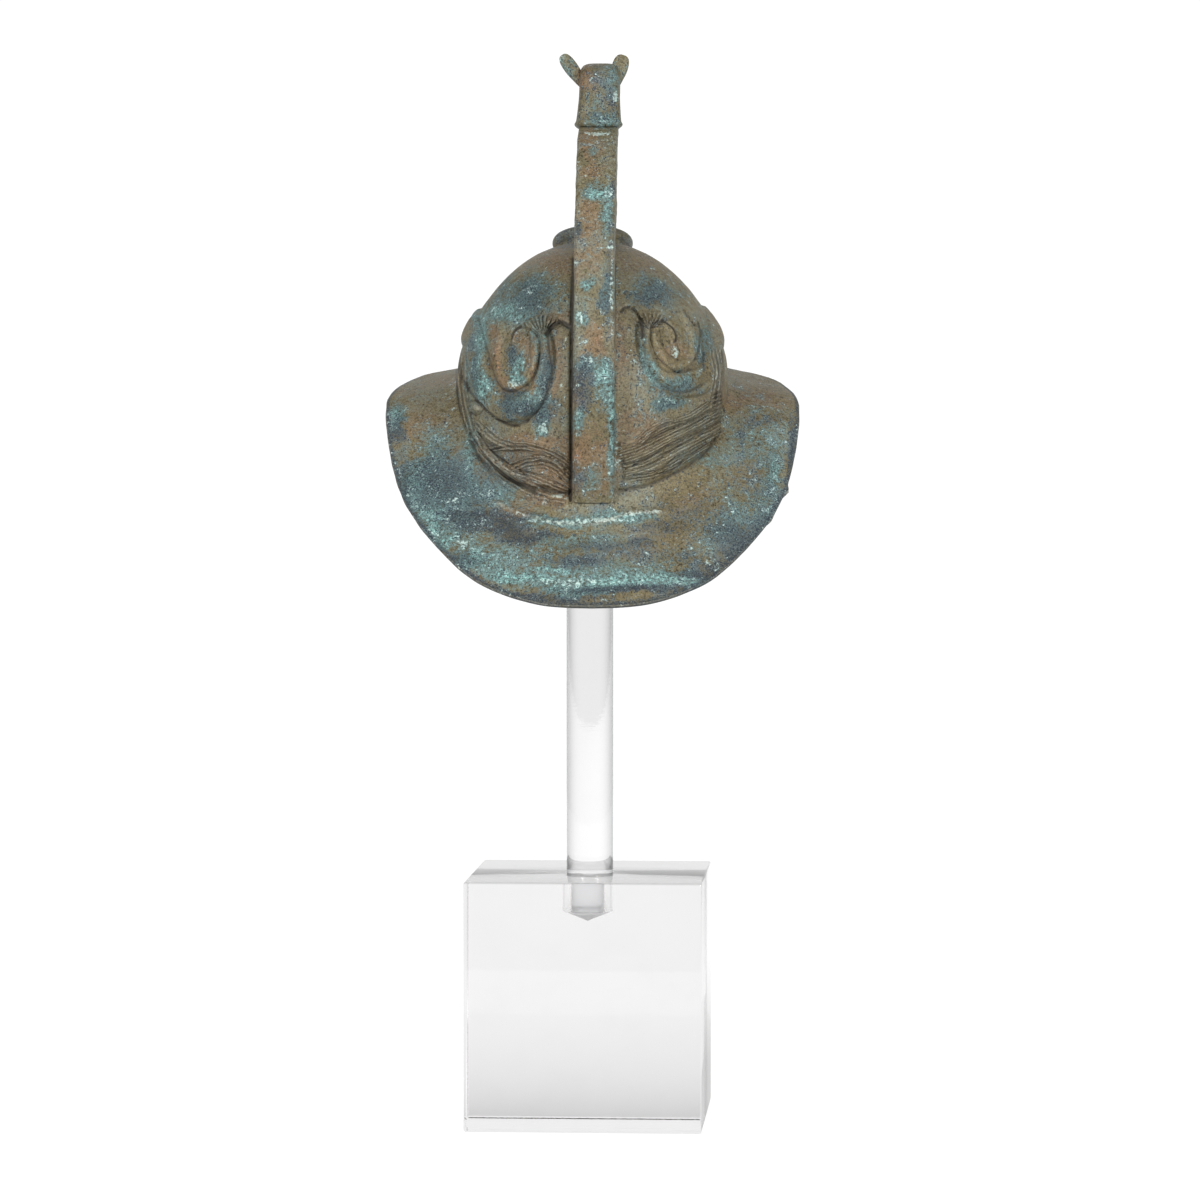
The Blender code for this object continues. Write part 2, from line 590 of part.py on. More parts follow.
def eye_holes():
    """Make the pins that pierce an eye guard, in staggered rows."""
    pins = bmesh.new()
    places = range(-EYE_HOLE_ROWS, EYE_HOLE_ROWS + 1)
    for column in places:
        for row in places:
            x = (column + 0.5 * (row % 2)) * EYE_HOLE_PITCH
            y = row * EYE_HOLE_PITCH * math.sqrt(3) / 2
            if math.hypot(x, y) + EYE_HOLE_RADIUS < EYE_RADIUS - EYE_RING / 2:
                bmesh.ops.create_cone(
                    pins, cap_ends=True, segments=HOLE_SIDES, depth=VISOR_WALL * 6,
                    radius1=EYE_HOLE_RADIUS, radius2=EYE_HOLE_RADIUS, matrix=Matrix.Translation((x, y, 0)),
                )
    return pins


def build_visor_leaf(name, side, group, cutters, parent):
    """Make one leaf of the visor, with a ringed and pierced eye guard."""
    angles = np.linspace(VISOR_REAR, math.pi - VISOR_PARTING, VISOR_COLUMNS)
    angle, drop = np.meshgrid(angles, VISOR_ROWS)
    outside = visor_point(side, angle, drop, np.zeros_like(angle))
    inside = visor_point(side, angle, drop, np.full_like(angle, VISOR_WALL))
    sections = [[*outside[:, column], *inside[::-1, column]] for column in range(VISOR_COLUMNS)]
    leaf = add_object(name, lofted(sections), group, VISOR_BRONZE, parent)

    frame = eye_frame(side)
    turns = np.linspace(0, 2 * math.pi, EYE_RING_SIDES + 1)
    circle = [(EYE_RADIUS + EYE_RING * math.cos(turn), EYE_RING * math.sin(turn)) for turn in turns]
    ring = turned(circle, EYE_SIDES)
    ring.transform(frame @ Matrix.Translation((0, 0, VISOR_WALL / 2)))
    cut(leaf, add_object(name + "_eye_ring", ring, cutters, parent=parent), "UNION")
    holes = eye_holes()
    holes.transform(frame)
    cut(leaf, add_object(name + "_holes", holes, cutters, parent=parent))
    return leaf


def crown_underside():
    """Give the height of the bowl's inner crown over the rod."""
    length, rise = BOWL_HALF_LENGTH - BOWL_WALL, BOWL_RISE - BOWL_WALL
    over = 1 / math.hypot(math.sin(HELMET_TILT) / length, math.cos(HELMET_TILT) / rise)
    return BOWL_CENTRE_HEIGHT + over


def build_rod(group, parent):
    """Make the clear rod, from its hole in the block to just under the crown."""
    radius = ROD_DIAMETER / 2
    bottom = BLOCK_HEIGHT - ROD_SUNK + ROD_SLACK
    top = crown_underside() - ROD_CROWN_GAP
    crown = [
        (radius * math.sin(turn), top - ROD_TOP_RISE * (1 - math.cos(turn)))
        for turn in np.linspace(0, math.pi / 2, ROD_CROWN_STEPS + 1)
    ]
    body = turned([*crown, (radius, bottom), (0, bottom)])
    return add_object("stand_rod", body, group, CLEAR_PLASTIC, parent)


def build_block(group, cutters, parent):
    """Make the clear block with the drilled hole that holds the rod."""
    body = bmesh.new()
    bmesh.ops.create_cube(body, size=1)
    bmesh.ops.scale(body, verts=body.verts, vec=(BLOCK_WIDTH, BLOCK_WIDTH, BLOCK_HEIGHT))
    bmesh.ops.translate(body, verts=body.verts, vec=(0, 0, BLOCK_HEIGHT / 2))
    bmesh.ops.bevel(
        body, geom=body.edges, offset=BLOCK_EDGE, segments=2, profile=0.5, affect="EDGES", material=-1
    )
    block = add_object("stand_block", body, group, CLEAR_PLASTIC, parent)
    radius = ROD_DIAMETER / 2 + ROD_SLACK
    floor = BLOCK_HEIGHT - ROD_SUNK
    above = BLOCK_HEIGHT + DRILL_LEAD
    drilled = turned([(0, above), (radius, above), (radius, floor), (0, floor - DRILL_TIP)])
    cut(block, add_object("rod_hole", drilled, cutters, parent=parent))
    return block


def add_empty(name, group, location, rotation):
    """Add an empty that carries pieces."""
    empty = bpy.data.objects.new(name, None)
    group.objects.link(empty)
    empty.location = location
    empty.rotation_euler = rotation
    return empty


def build():
    """Build the helmet and its stand."""
    for old in list(bpy.data.objects):
        bpy.data.objects.remove(old)
    parts = bpy.data.collections.new("gladiator_helmet")
    cutters = bpy.data.collections.new("cutters")
    for group in (parts, cutters):
        bpy.context.scene.collection.children.link(group)
    stand = add_empty("stand_frame", parts, (0, 0, 0), (0, 0, BLOCK_TURN))
    helmet = add_empty("helmet_frame", parts, (HELMET_SHIFT, 0, BOWL_CENTRE_HEIGHT), (-HELMET_TILT, 0, 0))
    build_block(parts, cutters, stand)
    build_rod(parts, stand)
    build_helmet_shell(parts, helmet)
    seat = build_seat_cutter(cutters, helmet)
    crest = build_crest(parts, helmet, seat)
    build_griffin_head(parts, cutters, helmet)
    build_medallion(parts, cutters, helmet, seat, crest)
    for name, side in (("visor_left", 1), ("visor_right", -1)):
        build_visor_leaf(name, side, parts, cutters, helmet)


build()
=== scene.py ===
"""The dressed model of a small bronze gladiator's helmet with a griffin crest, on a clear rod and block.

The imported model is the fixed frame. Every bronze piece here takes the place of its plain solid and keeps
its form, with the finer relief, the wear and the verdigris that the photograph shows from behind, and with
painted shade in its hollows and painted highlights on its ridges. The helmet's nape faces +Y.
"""

import logging
import math
from dataclasses import dataclass
from enum import Enum

import bmesh
import bpy
import numpy as np
from mathutils import Matrix, Vector, noise
from mathutils.bvhtree import BVHTree


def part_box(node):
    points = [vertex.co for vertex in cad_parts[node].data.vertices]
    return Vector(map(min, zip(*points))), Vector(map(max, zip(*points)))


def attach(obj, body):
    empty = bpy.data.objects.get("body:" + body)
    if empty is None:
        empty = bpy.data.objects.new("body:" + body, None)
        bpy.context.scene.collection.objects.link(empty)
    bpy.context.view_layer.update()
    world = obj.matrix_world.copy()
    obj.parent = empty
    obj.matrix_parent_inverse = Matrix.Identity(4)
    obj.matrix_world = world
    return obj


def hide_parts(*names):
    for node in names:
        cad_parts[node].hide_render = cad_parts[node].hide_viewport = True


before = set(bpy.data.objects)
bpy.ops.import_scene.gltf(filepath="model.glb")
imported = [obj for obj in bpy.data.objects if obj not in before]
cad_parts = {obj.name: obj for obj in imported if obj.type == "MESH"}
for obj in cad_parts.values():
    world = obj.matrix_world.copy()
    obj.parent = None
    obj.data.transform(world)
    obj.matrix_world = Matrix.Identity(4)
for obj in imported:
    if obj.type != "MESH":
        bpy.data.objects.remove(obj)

LOG = logging.getLogger("gladiator_helmet")

MM = 0.001
PHOTO_SIZE = 1200
WELD = 1e-6
BODY = "root"

# A table's row of numbers
Row = tuple[float, ...]
Table = tuple[Row, ...]
Pair = tuple[float, float]
# A place or a colour
Triple = tuple[float, float, float]
Socket = bpy.types.NodeSocket


class Slot(Enum):
    """The record's material slots."""

    SHELL = "shell_bronze"
    CREST = "crest_bronze"
    VISOR = "visor_bronze"
    CLEAR = "clear_plastic"


class Stain(Enum):
    """Kinds of tarnish, each named for the mesh attribute that holds its share; the pale kind also holds
    painted highlights.
    """

    TEAL = "verdigris"
    WARM = "brown_patina"
    DARK = "black_patina"
    # Pale bloom, and painted highlights
    PALE = "pale_bloom"


# How much of each stain lies where the photograph shows nothing, and where it shows no patch
UNSEEN_LEVEL = {Stain.TEAL: 0.42, Stain.WARM: 0.40, Stain.DARK: 0.32, Stain.PALE: 0.04}
BARE_LEVEL = {Stain.TEAL: 0.22, Stain.WARM: 0.28, Stain.DARK: 0.17, Stain.PALE: 0.02}

# How much of each a full patch adds, the shares of its size over which it fades, and the rim's dark tarnish
PATCH_COVER = 0.90
PATCH_FADE = (0.2, 1.7)
RIM_TARNISH = 0.75

# How squarely a surface faces the camera, from just hidden to fully seen
SEEN_FADE = (-0.05, 0.12)

# Patches of tarnish in pixels of the photograph, some of the pale ones painted highlights: x, y, half width,
# half height and strength
STAINS: dict[Stain, Table] = {
    Stain.TEAL: (
        (396, 417, 8, 14, 0.9), (455, 492, 62, 42, 0.62), (408, 492, 14, 22, 0.7), (441, 541, 12, 9, 0.8),
        (508, 577, 26, 8, 0.85), (575, 590, 60, 7, 0.9), (640, 581, 60, 7, 0.8), (526, 294, 34, 22, 0.72),
        (506, 315, 22, 12, 0.75), (653, 293, 28, 15, 0.6), (478, 352, 9, 34, 0.8), (485, 388, 11, 14, 1.0),
        (517, 364, 10, 15, 0.9), (515, 380, 8, 4, 1.0), (525, 407, 27, 13, 0.8), (543, 380, 8, 30, 0.7),
        (543, 426, 10, 10, 1.0), (537, 334, 12, 14, 0.5), (583, 365, 9, 9, 0.7), (580, 420, 7, 15, 0.8),
        (600, 372, 11, 14, 0.8), (595, 191, 12, 8, 1.0), (606, 212, 6, 26, 0.75), (586, 284, 7, 6, 0.9),
        (608, 292, 7, 26, 0.7), (580, 316, 6, 10, 0.8), (604, 396, 9, 22, 0.6), (611, 430, 4, 60, 0.8),
        (603, 120, 20, 9, 0.75), (594, 104, 8, 9, 0.5), (652, 372, 7, 16, 0.8), (678, 385, 27, 10, 0.75),
        (645, 353, 4, 16, 0.6), (668, 403, 17, 7, 0.85), (762, 436, 30, 26, 0.4), (776, 468, 8, 18, 0.7),
        # The patches at (560, 522) and (628, 516) on the next line lie along the brim's ridge and are partly
        # a painted highlight
        (732, 522, 34, 24, 0.55), (690, 585, 40, 10, 0.6), (560, 522, 42, 6, 0.9), (628, 516, 30, 6, 0.9),
        (470, 455, 7, 40, 0.6), (500, 492, 20, 10, 0.45), (590, 478, 8, 14, 0.5), (593, 151, 5, 5, 0.6),
        (612, 84, 7, 22, 0.6), (540, 553, 60, 18, 0.45), (640, 560, 60, 14, 0.25), (600, 574, 80, 12, 0.5),
        (700, 550, 40, 20, 0.25), (430, 455, 20, 30, 0.5), (440, 520, 40, 30, 0.5),
        (480, 560, 40, 18, 0.5), (770, 500, 14, 40, 0.45), (590, 540, 60, 8, 0.45), (530, 580, 30, 4, 1.0),
        (560, 570, 26, 3, 0.8), (620, 585, 30, 4, 0.9), (470, 560, 16, 8, 0.8), (430, 520, 10, 14, 0.7),
        (420, 480, 12, 20, 0.6), (740, 470, 40, 50, 0.28), (585, 300, 5, 30, 0.3), (480, 330, 12, 12, 0.5),
        (700, 455, 24, 12, 0.3), (567, 70, 10, 16, 0.35), (625, 70, 8, 16, 0.2), (704, 345, 8, 24, 0.6),
        (470, 372, 10, 34, 0.35),
    ),
    Stain.WARM: (
        (425, 428, 24, 18, 0.6), (460, 380, 30, 10, 0.4), (511, 510, 16, 10, 1.0), (434, 529, 4, 4, 1.2),
        (458, 451, 8, 5, 0.8), (494, 497, 8, 12, 0.7), (531, 557, 24, 16, 0.6), (556, 314, 22, 6, 0.7),
        (496, 352, 5, 26, 1.0), (503, 380, 7, 8, 0.9), (534, 376, 4, 12, 0.9), (528, 344, 13, 14, 0.75),
        (536, 372, 6, 20, 0.7), (516, 392, 14, 5, 0.8), (553, 372, 8, 46, 0.75), (540, 441, 34, 6, 0.8),
        (531, 484, 9, 5, 1.3), (562, 489, 9, 6, 1.3), (590, 343, 11, 24, 1.0), (578, 402, 6, 14, 1.1),
        (580, 450, 9, 26, 0.85), (591, 146, 11, 15, 0.9), (590, 174, 12, 10, 0.7), (591, 216, 12, 22, 0.7),
        (590, 78, 9, 14, 0.9), (620, 345, 10, 40, 0.6), (645, 366, 5, 14, 0.9), (656, 386, 7, 10, 0.8),
        (672, 352, 16, 16, 0.55), (749, 399, 44, 16, 0.55), (745, 474, 34, 13, 0.4),
        (650, 545, 60, 16, 0.4), (560, 470, 60, 26, 0.5), (700, 500, 30, 14, 0.5),
        (640, 430, 30, 24, 0.55), (600, 455, 14, 40, 0.6), (560, 262, 36, 20, 0.5),
        (640, 262, 36, 20, 0.4), (420, 560, 40, 10, 0.3), (475, 578, 20, 6, 0.6), (540, 500, 26, 6, 0.7),
        (590, 245, 12, 20, 0.5), (530, 470, 40, 22, 0.8), (492, 462, 26, 24, 0.6),
    ),
    Stain.DARK: (
        (432, 476, 30, 24, 0.75), (490, 521, 44, 9, 0.9), (525, 537, 26, 7, 0.95), (584, 560, 24, 7, 0.5),
        (590, 545, 34, 5, 0.45), (455, 498, 40, 24, 0.6), (398, 432, 7, 16, 0.9), (526, 296, 24, 16, 0.6),
        (653, 296, 22, 12, 0.6), (513, 357, 8, 10, 0.75), (528, 412, 26, 9, 0.8), (508, 400, 9, 10, 0.7),
        (545, 380, 6, 26, 0.75), (584, 385, 9, 26, 0.85), (612, 100, 4, 12, 0.8), (612, 190, 3, 8, 0.8),
        (578, 230, 3, 9, 0.8), (610, 270, 3, 60, 0.5), (668, 404, 12, 5, 0.7), (680, 388, 24, 7, 0.55),
        (765, 420, 24, 5, 0.5), (740, 437, 5, 12, 0.6), (792, 448, 4, 26, 1.0), (660, 527, 26, 5, 0.60),
        (745, 546, 18, 14, 0.9), (640, 590, 60, 4, 0.9), (560, 598, 60, 4, 0.8), (716, 568, 26, 6, 0.7),
        (606, 300, 6, 26, 0.55), (655, 323, 12, 4, 0.6), (460, 560, 22, 7, 0.7), (404, 500, 6, 34, 0.7),
        (578, 478, 6, 14, 0.5), (600, 117, 16, 6, 0.45), (470, 352, 8, 30, 0.3), (640, 552, 50, 8, 0.30),
        (500, 600, 40, 5, 0.8), (562, 236, 14, 12, 0.5), (624, 236, 12, 12, 0.5), (470, 514, 30, 3, 0.9),
        (505, 530, 22, 4, 0.9), (546, 536, 16, 4, 0.7), (570, 560, 30, 4, 0.5), (610, 590, 60, 3, 0.9),
        (700, 575, 30, 4, 0.9), (735, 555, 16, 8, 0.9), (762, 530, 10, 14, 0.8), (760, 480, 26, 40, 0.32),
        (700, 520, 40, 18, 0.28), (600, 80, 10, 22, 0.25), (476, 378, 5, 24, 0.5), (706, 352, 7, 22, 0.35),
        (595, 95, 22, 34, 0.20), (505, 468, 34, 22, 0.25), (725, 530, 22, 10, 0.5), (641, 541, 16, 4, 0.6),
        (690, 560, 30, 6, 0.4), (690, 505, 40, 20, 0.2),
    ),
    # Pale bloom; the spot on the griffin's head, the thin line along the brim's ridge and the lines down the
    # crest's right edge are painted highlights
    Stain.PALE: (
        (462, 547, 10, 6, 0.5), (455, 500, 6, 3, 0.35), (440, 536, 6, 4, 0.4), (560, 522, 34, 1.6, 0.8),
        (604, 520, 26, 1.6, 0.8), (632, 513, 10, 2, 0.9), (656, 512, 9, 2, 0.8), (560, 495, 9, 1.5, 0.8),
        (606, 192, 5, 6, 0.5), (611, 272, 2, 40, 0.45), (580, 316, 3, 7, 0.7), (615, 97, 2.5, 6, 1.0),
        (597, 134, 13, 2, 0.6), (676, 353, 3, 6, 0.8), (543, 426, 6, 6, 0.9), (562, 385, 1.5, 2, 0.8),
        (565, 338, 1.5, 2, 0.8), (708, 563, 6, 4, 0.5), (512, 385, 6, 4, 0.5), (617, 462, 8, 20, 0.25),
        (590, 362, 9, 4, 0.3), (540, 583, 24, 3, 0.35), (485, 392, 5, 7, 0.3), (590, 582, 44, 3, 0.35),
        (520, 514, 12, 2, 0.5), (612, 300, 2, 40, 0.35),
    ),
}

# Fine chased lines and ridges in pixels of the photograph: half width, depth in millimetres (below 0 is a
# groove), then the points. A groove is also painted dark and a ridge pale: partly patina and rubbed metal,
# partly painted shade and painted highlight.
CHASED: tuple[tuple[float, float, Table], ...] = (
    # Left tail: the sharp foot of its band, outside and inside
    (1.6, -0.7, ((457, 352), (460, 372), (468, 388), (478, 402), (489, 413), (502, 422),
        (513, 426), (527, 421))),
    (1.5, -0.7, ((527, 421), (539, 409), (547, 392), (552, 372), (550, 352), (548, 336))),
    (1.4, -0.7, ((478, 318), (483, 333), (487, 350), (491, 366), (498, 383), (504, 390),
        (515, 391), (527, 385))),
    (1.3, -0.6, ((527, 385), (536, 374), (540, 361), (541, 346), (537, 336))),
    # Left coil with its hooked end
    (1.2, -0.7, ((537, 336), (531, 330), (523, 328), (516, 330), (512, 336), (512, 344))),
    (1.0, -0.5, ((505, 338), (501, 352), (502, 366), (508, 378), (517, 382), (526, 377),
        (531, 366), (531, 354))),
    # Left fan of feathers
    (0.8, 0.6, ((541, 334), (532, 328), (521, 323))),
    (0.8, 0.6, ((541, 334), (534, 326), (524, 320))),
    (0.8, 0.6, ((541, 334), (537, 325), (529, 318))),
    (0.8, 0.6, ((541, 334), (539, 325), (535, 317))),
    (0.8, 0.6, ((542, 334), (542, 325), (541, 317))),
    (0.8, 0.6, ((543, 334), (545, 325), (546, 317))),
    (0.8, 0.6, ((543, 334), (547, 324), (552, 316))),
    (0.8, 0.6, ((543, 334), (549, 322), (558, 315))),
    (0.8, 0.6, ((544, 334), (551, 321), (564, 317))),
    # A recess on the fan's right side, painted dark as the fan's shadow
    (2.3, -1.5, ((547, 334), (551, 327), (557, 323), (563, 323), (568, 326))),
    (1.2, -0.9, ((521, 326), (515, 331), (512, 338))),
    # Fine lines up the narrow part of the left tail
    (0.7, -0.4, ((542, 338), (545, 352), (546, 366), (542, 384), (535, 397))),
    (0.7, -0.4, ((546, 338), (549, 352), (550, 370), (546, 388), (538, 402))),
    # Knob beside the left fringe
    (2.6, 1.3, ((476, 407), (477, 409))),
    (1.0, -0.6, ((470, 402), (476, 401), (482, 405), (482, 411), (477, 415), (470, 413))),
    # Left fringe
    (0.9, -0.8, ((458, 366), (457, 388), (460, 410), (467, 430))),
    (0.9, -0.8, ((462, 362), (461, 388), (464, 412), (471, 432))),
    (0.9, -0.8, ((467, 378), (468, 398), (471, 416), (475, 430))),
    (0.8, 0.5, ((460, 364), (459, 388), (462, 410), (469, 431))),
    # Left locks
    (1.0, -0.6, ((481, 404), (494, 417), (507, 423), (519, 427))),
    (1.2, 0.7, ((480, 428), (488, 437), (498, 443), (506, 446))),
    (1.0, -0.6, ((478, 432), (487, 442), (498, 449), (508, 451))),
    (1.0, -0.7, ((491, 450), (506, 447), (523, 446), (539, 448), (554, 452), (563, 458))),
    (1.0, 0.6, ((500, 450), (516, 449), (533, 450), (549, 454), (562, 461))),
    (0.9, -0.6, ((511, 452), (523, 450), (539, 452), (556, 456), (562, 461))),
    (0.9, -0.6, ((514, 463), (527, 458), (541, 455), (556, 459), (563, 465))),
    (1.0, 0.6, ((516, 466), (529, 461), (543, 458), (556, 462), (563, 468))),
    (0.9, -0.6, ((521, 465), (533, 459), (547, 461), (560, 466))),
    (0.9, -0.6, ((523, 473), (535, 473), (547, 477), (560, 484), (567, 487))),
    (0.9, 0.5, ((528, 476), (540, 477), (552, 482), (563, 488))),
    (0.8, -0.5, ((519, 469), (523, 475), (531, 483))),
    (1.3, 0.8, ((474, 434), (482, 446), (494, 459), (507, 469), (519, 477), (531, 484), (540, 491))),
    (1.1, -0.8, ((477, 432), (485, 444), (497, 456), (510, 465), (522, 473), (535, 482), (545, 490))),
    (1.1, -0.7, ((475, 440), (484, 454), (496, 467), (511, 480), (524, 488), (537, 494))),
    (1.3, 0.8, ((472, 438), (480, 453), (492, 469), (507, 484), (522, 493), (540, 500), (560, 503))),
    (1.2, -0.6, ((470, 441), (478, 457), (490, 473), (505, 488), (521, 497), (540, 504), (562, 507))),
    (1.0, 0.5, ((503, 455), (514, 468), (527, 478), (541, 486))),
    # Right coil, its fan and its hooked end
    (1.4, -1.2, ((621, 311), (626, 307), (632, 308), (638, 314), (641, 323), (642, 338))),
    (0.8, 0.6, ((648, 326), (641, 316), (635, 307))),
    (0.8, 0.6, ((648, 326), (645, 317), (641, 309))),
    (0.8, 0.6, ((648, 326), (650, 318), (651, 312))),
    (0.8, 0.6, ((649, 326), (655, 320), (662, 316))),
    (0.8, 0.6, ((649, 327), (657, 323), (665, 315))),
    (0.8, -0.5, ((644, 326), (646, 340), (646, 352))),
    (1.4, -1.1, ((655, 323), (662, 321), (669, 325), (674, 330), (676, 337), (674, 342))),
    (1.3, -0.6, ((651, 331), (649, 342), (651, 353), (656, 363), (665, 371), (675, 372),
        (686, 368), (695, 359))),
    (1.3, -0.7, ((695, 359), (699, 346), (700, 331), (698, 322))),
    (1.5, -0.7, ((643, 344), (646, 361), (654, 376), (665, 387), (677, 392), (690, 391), (701, 384))),
    (1.0, -0.5, ((676, 342), (680, 352), (676, 362), (668, 364))),
    (1.0, -1.0, ((685, 312), (690, 319), (696, 326))),
    (1.2, -0.6, ((702, 330), (703, 350), (704, 372))),
    # Right fringe, with its row of short notches
    (0.9, -0.8, ((716, 354), (719, 372), (717, 392), (715, 404))),
    (0.9, -0.8, ((722, 350), (723, 374), (721, 396), (725, 412))),
    (0.9, -0.8, ((712, 396), (720, 392))),
    (0.9, -0.8, ((712, 400), (720, 396))),
    (0.9, -0.8, ((712, 404), (721, 400))),
    (0.9, -0.8, ((713, 408), (721, 404))),
    (0.9, -0.8, ((713, 412), (722, 408))),
    (0.9, -0.8, ((714, 416), (722, 412))),
    (0.9, -0.8, ((715, 420), (723, 416))),
    (0.9, -0.8, ((716, 424), (723, 420))),
    # Right locks
    (1.1, 0.7, ((647, 434), (655, 425), (666, 420), (677, 420), (686, 423))),
    (0.9, -0.6, ((649, 437), (658, 428), (669, 423), (679, 423))),
    (0.9, -0.6, ((646, 440), (660, 434), (675, 427), (686, 421), (697, 416), (706, 406))),
    (1.0, 0.6, ((648, 443), (662, 437), (677, 430), (690, 424), (702, 417), (710, 410))),
    (0.9, -0.6, ((652, 439), (671, 433), (688, 427), (705, 416))),
    (0.9, -0.7, ((633, 465), (650, 457), (665, 446), (680, 438), (697, 429), (712, 419))),
    (1.0, 0.6, ((636, 468), (652, 460), (667, 449), (682, 441), (698, 432), (713, 422))),
    (0.9, -0.6, ((639, 470), (654, 463), (671, 451), (686, 442), (701, 433), (716, 425))),
    (1.0, 0.6, ((643, 472), (657, 466), (673, 455), (688, 446), (703, 437), (717, 428))),
    (0.9, -0.7, ((648, 472), (662, 468), (677, 455), (692, 446), (707, 438), (718, 429))),
    (1.0, 0.6, ((654, 473), (668, 468), (682, 458), (696, 449), (710, 440), (718, 433))),
    (0.9, -0.7, ((660, 474), (675, 468), (688, 457), (701, 448), (716, 438))),
    (0.9, -0.5, ((622, 461), (636, 457), (648, 449), (660, 441))),
    (0.9, -0.5, ((622, 470), (634, 466), (646, 461))),
    (0.9, 0.5, ((620, 449), (632, 446), (644, 440))),
    # Crease where the bowl meets the brim, and the edge of the locks above it
    (2.4, -0.9, ((470, 434), (484, 460), (507, 478), (532, 488), (557, 492), (569, 493))),
    (2.2, -0.8, ((615, 492), (649, 485), (681, 470), (706, 452), (720, 431))),
    (1.3, 0.6, ((474, 428), (488, 454), (510, 471), (534, 481), (560, 486))),
    # Foot of the crest, painted dark as the shade in its joint
    (1.7, -1.5, ((573.5, 258), (572, 300), (571.5, 340), (571, 400), (571, 450), (570.5, 500))),
    (1.4, -1.0, ((614.5, 262), (614.5, 300), (614, 340), (613.5, 400), (613, 450), (612.5, 490))),
    # Step round the brim, with its bright ridge
    (3.0, 0.7, ((498, 503), (521, 514), (543, 519), (564, 524), (592, 524), (611, 519),
        (633, 512), (660, 512))),
    (2.4, 0.4, ((660, 512), (684, 505), (704, 490), (722, 470))),
    (5.0, -0.4, ((498, 517), (524, 534), (560, 546), (600, 548), (636, 541), (668, 529))),
)

# Bundles of fine parallel hair lines in pixels of the photograph: half width, spacing, then the points
COMBED: tuple[tuple[float, float, Table], ...] = (
    (7, 3.6, ((461, 358), (461, 378), (464, 402), (471, 430))),
    (6, 3.8, ((478, 424), (488, 434), (500, 442), (514, 447))),
    (9, 4.6, ((474, 438), (486, 455), (502, 471), (520, 484), (540, 494), (564, 499))),
    (6, 3.2, ((490, 449), (508, 446), (528, 447), (548, 453), (568, 464))),
    (8, 3.6, ((512, 468), (528, 462), (544, 461), (558, 467), (568, 476))),
    (6, 3.6, ((516, 472), (536, 477), (552, 484), (568, 491))),
    (9, 2.8, ((622, 458), (640, 452), (658, 443), (676, 434), (693, 426), (716, 414))),
    (8, 3.1, ((626, 470), (645, 465), (664, 456), (682, 447), (700, 438), (719, 428))),
    (7, 2.6, ((640, 442), (654, 431), (672, 423), (690, 418), (708, 406))),
    (5, 2.7, ((634, 478), (652, 475), (670, 467), (688, 457), (706, 446))),
    (7, 3.4, ((716, 352), (719, 372), (717, 392), (714, 408))),
)


@dataclass(frozen=True)
class Fan:
    """A fan of feathers in pixels of the photograph, with its angles in degrees from straight up."""

    root: Pair
    inner: float
    outer: float
    low: float
    high: float
    rays: int


FANS = (
    Fan((543, 338), 5, 25, -62, 58, 10),
    Fan((650, 330), 4, 20, -75, 62, 9),
)


def smooth_step(value: np.ndarray, low: float, high: float) -> np.ndarray:
    """Rise from 0 at low to 1 at high, with level ends.

    Args:
        value: The numbers to read.
        low: Where the rise starts.
        high: Where it ends.

    Returns:
        Shares from 0 to 1.
    """
    share = np.clip((value - low) / (high - low), 0, 1)
    return share * share * (3 - 2 * share)


def eased(at: np.ndarray, table: Table, column: int = 1) -> np.ndarray:
    """Read a table's column at the given keys, along a smooth curve through its rows.

    Args:
        at: Keys to read at.
        table: Rows whose first column is the key.
        column: The column to read.

    Returns:
        The column's values there.
    """
    rows = np.array(table, dtype=float)
    keys, values = rows[:, 0], rows[:, column]
    slopes = np.gradient(values, keys)
    at = np.clip(at, keys[0], keys[-1])
    low = np.clip(np.searchsorted(keys, at, side="right") - 1, 0, len(keys) - 2)
    span = keys[low + 1] - keys[low]
    t = (at - keys[low]) / span
    start = (2 * t**3 - 3 * t**2 + 1) * values[low] + (t**3 - 2 * t**2 + t) * span * slopes[low]
    end = (3 * t**2 - 2 * t**3) * values[low + 1] + (t**3 - t**2) * span * slopes[low + 1]
    return start + end


def smooth_path(rows: Table, steps: int = 10) -> np.ndarray:
    """Put further rows between a path's rows, on a smooth curve through them.

    Args:
        rows: The path's rows.
        steps: How many pieces each stretch is cut into.

    Returns:
        An array with one line for each row of the finer path.
    """
    numbered = tuple((index, *row) for index, row in enumerate(rows))
    at = np.linspace(0, len(rows) - 1, steps * (len(rows) - 1) + 1)
    return np.stack([eased(at, numbered, column + 1) for column in range(len(rows[0]))], axis=1)


def unevenness(points: np.ndarray, wavelength: float, offset: float = 0.0) -> np.ndarray:
    """Give a soft random lift, from about -1 to 1, that goes on smoothly over a surface.

    Args:
        points: Points in metres.
        wavelength: The distance between its humps.
        offset: Moves the pattern, so that two of them differ.

    Returns:
        One number for each point.
    """
    scaled = points / wavelength + offset
    return np.array([noise.noise(Vector(point)) for point in scaled])


def rough(points: np.ndarray, waves: Table) -> np.ndarray:
    """Add up unevenness of several sizes.

    Args:
        points: Points in metres.
        waves: The height and the wavelength in millimetres and the offset of each.

    Returns:
        A height for each point.
    """
    return sum(height * MM * unevenness(points, length * MM, offset) for height, length, offset in waves)


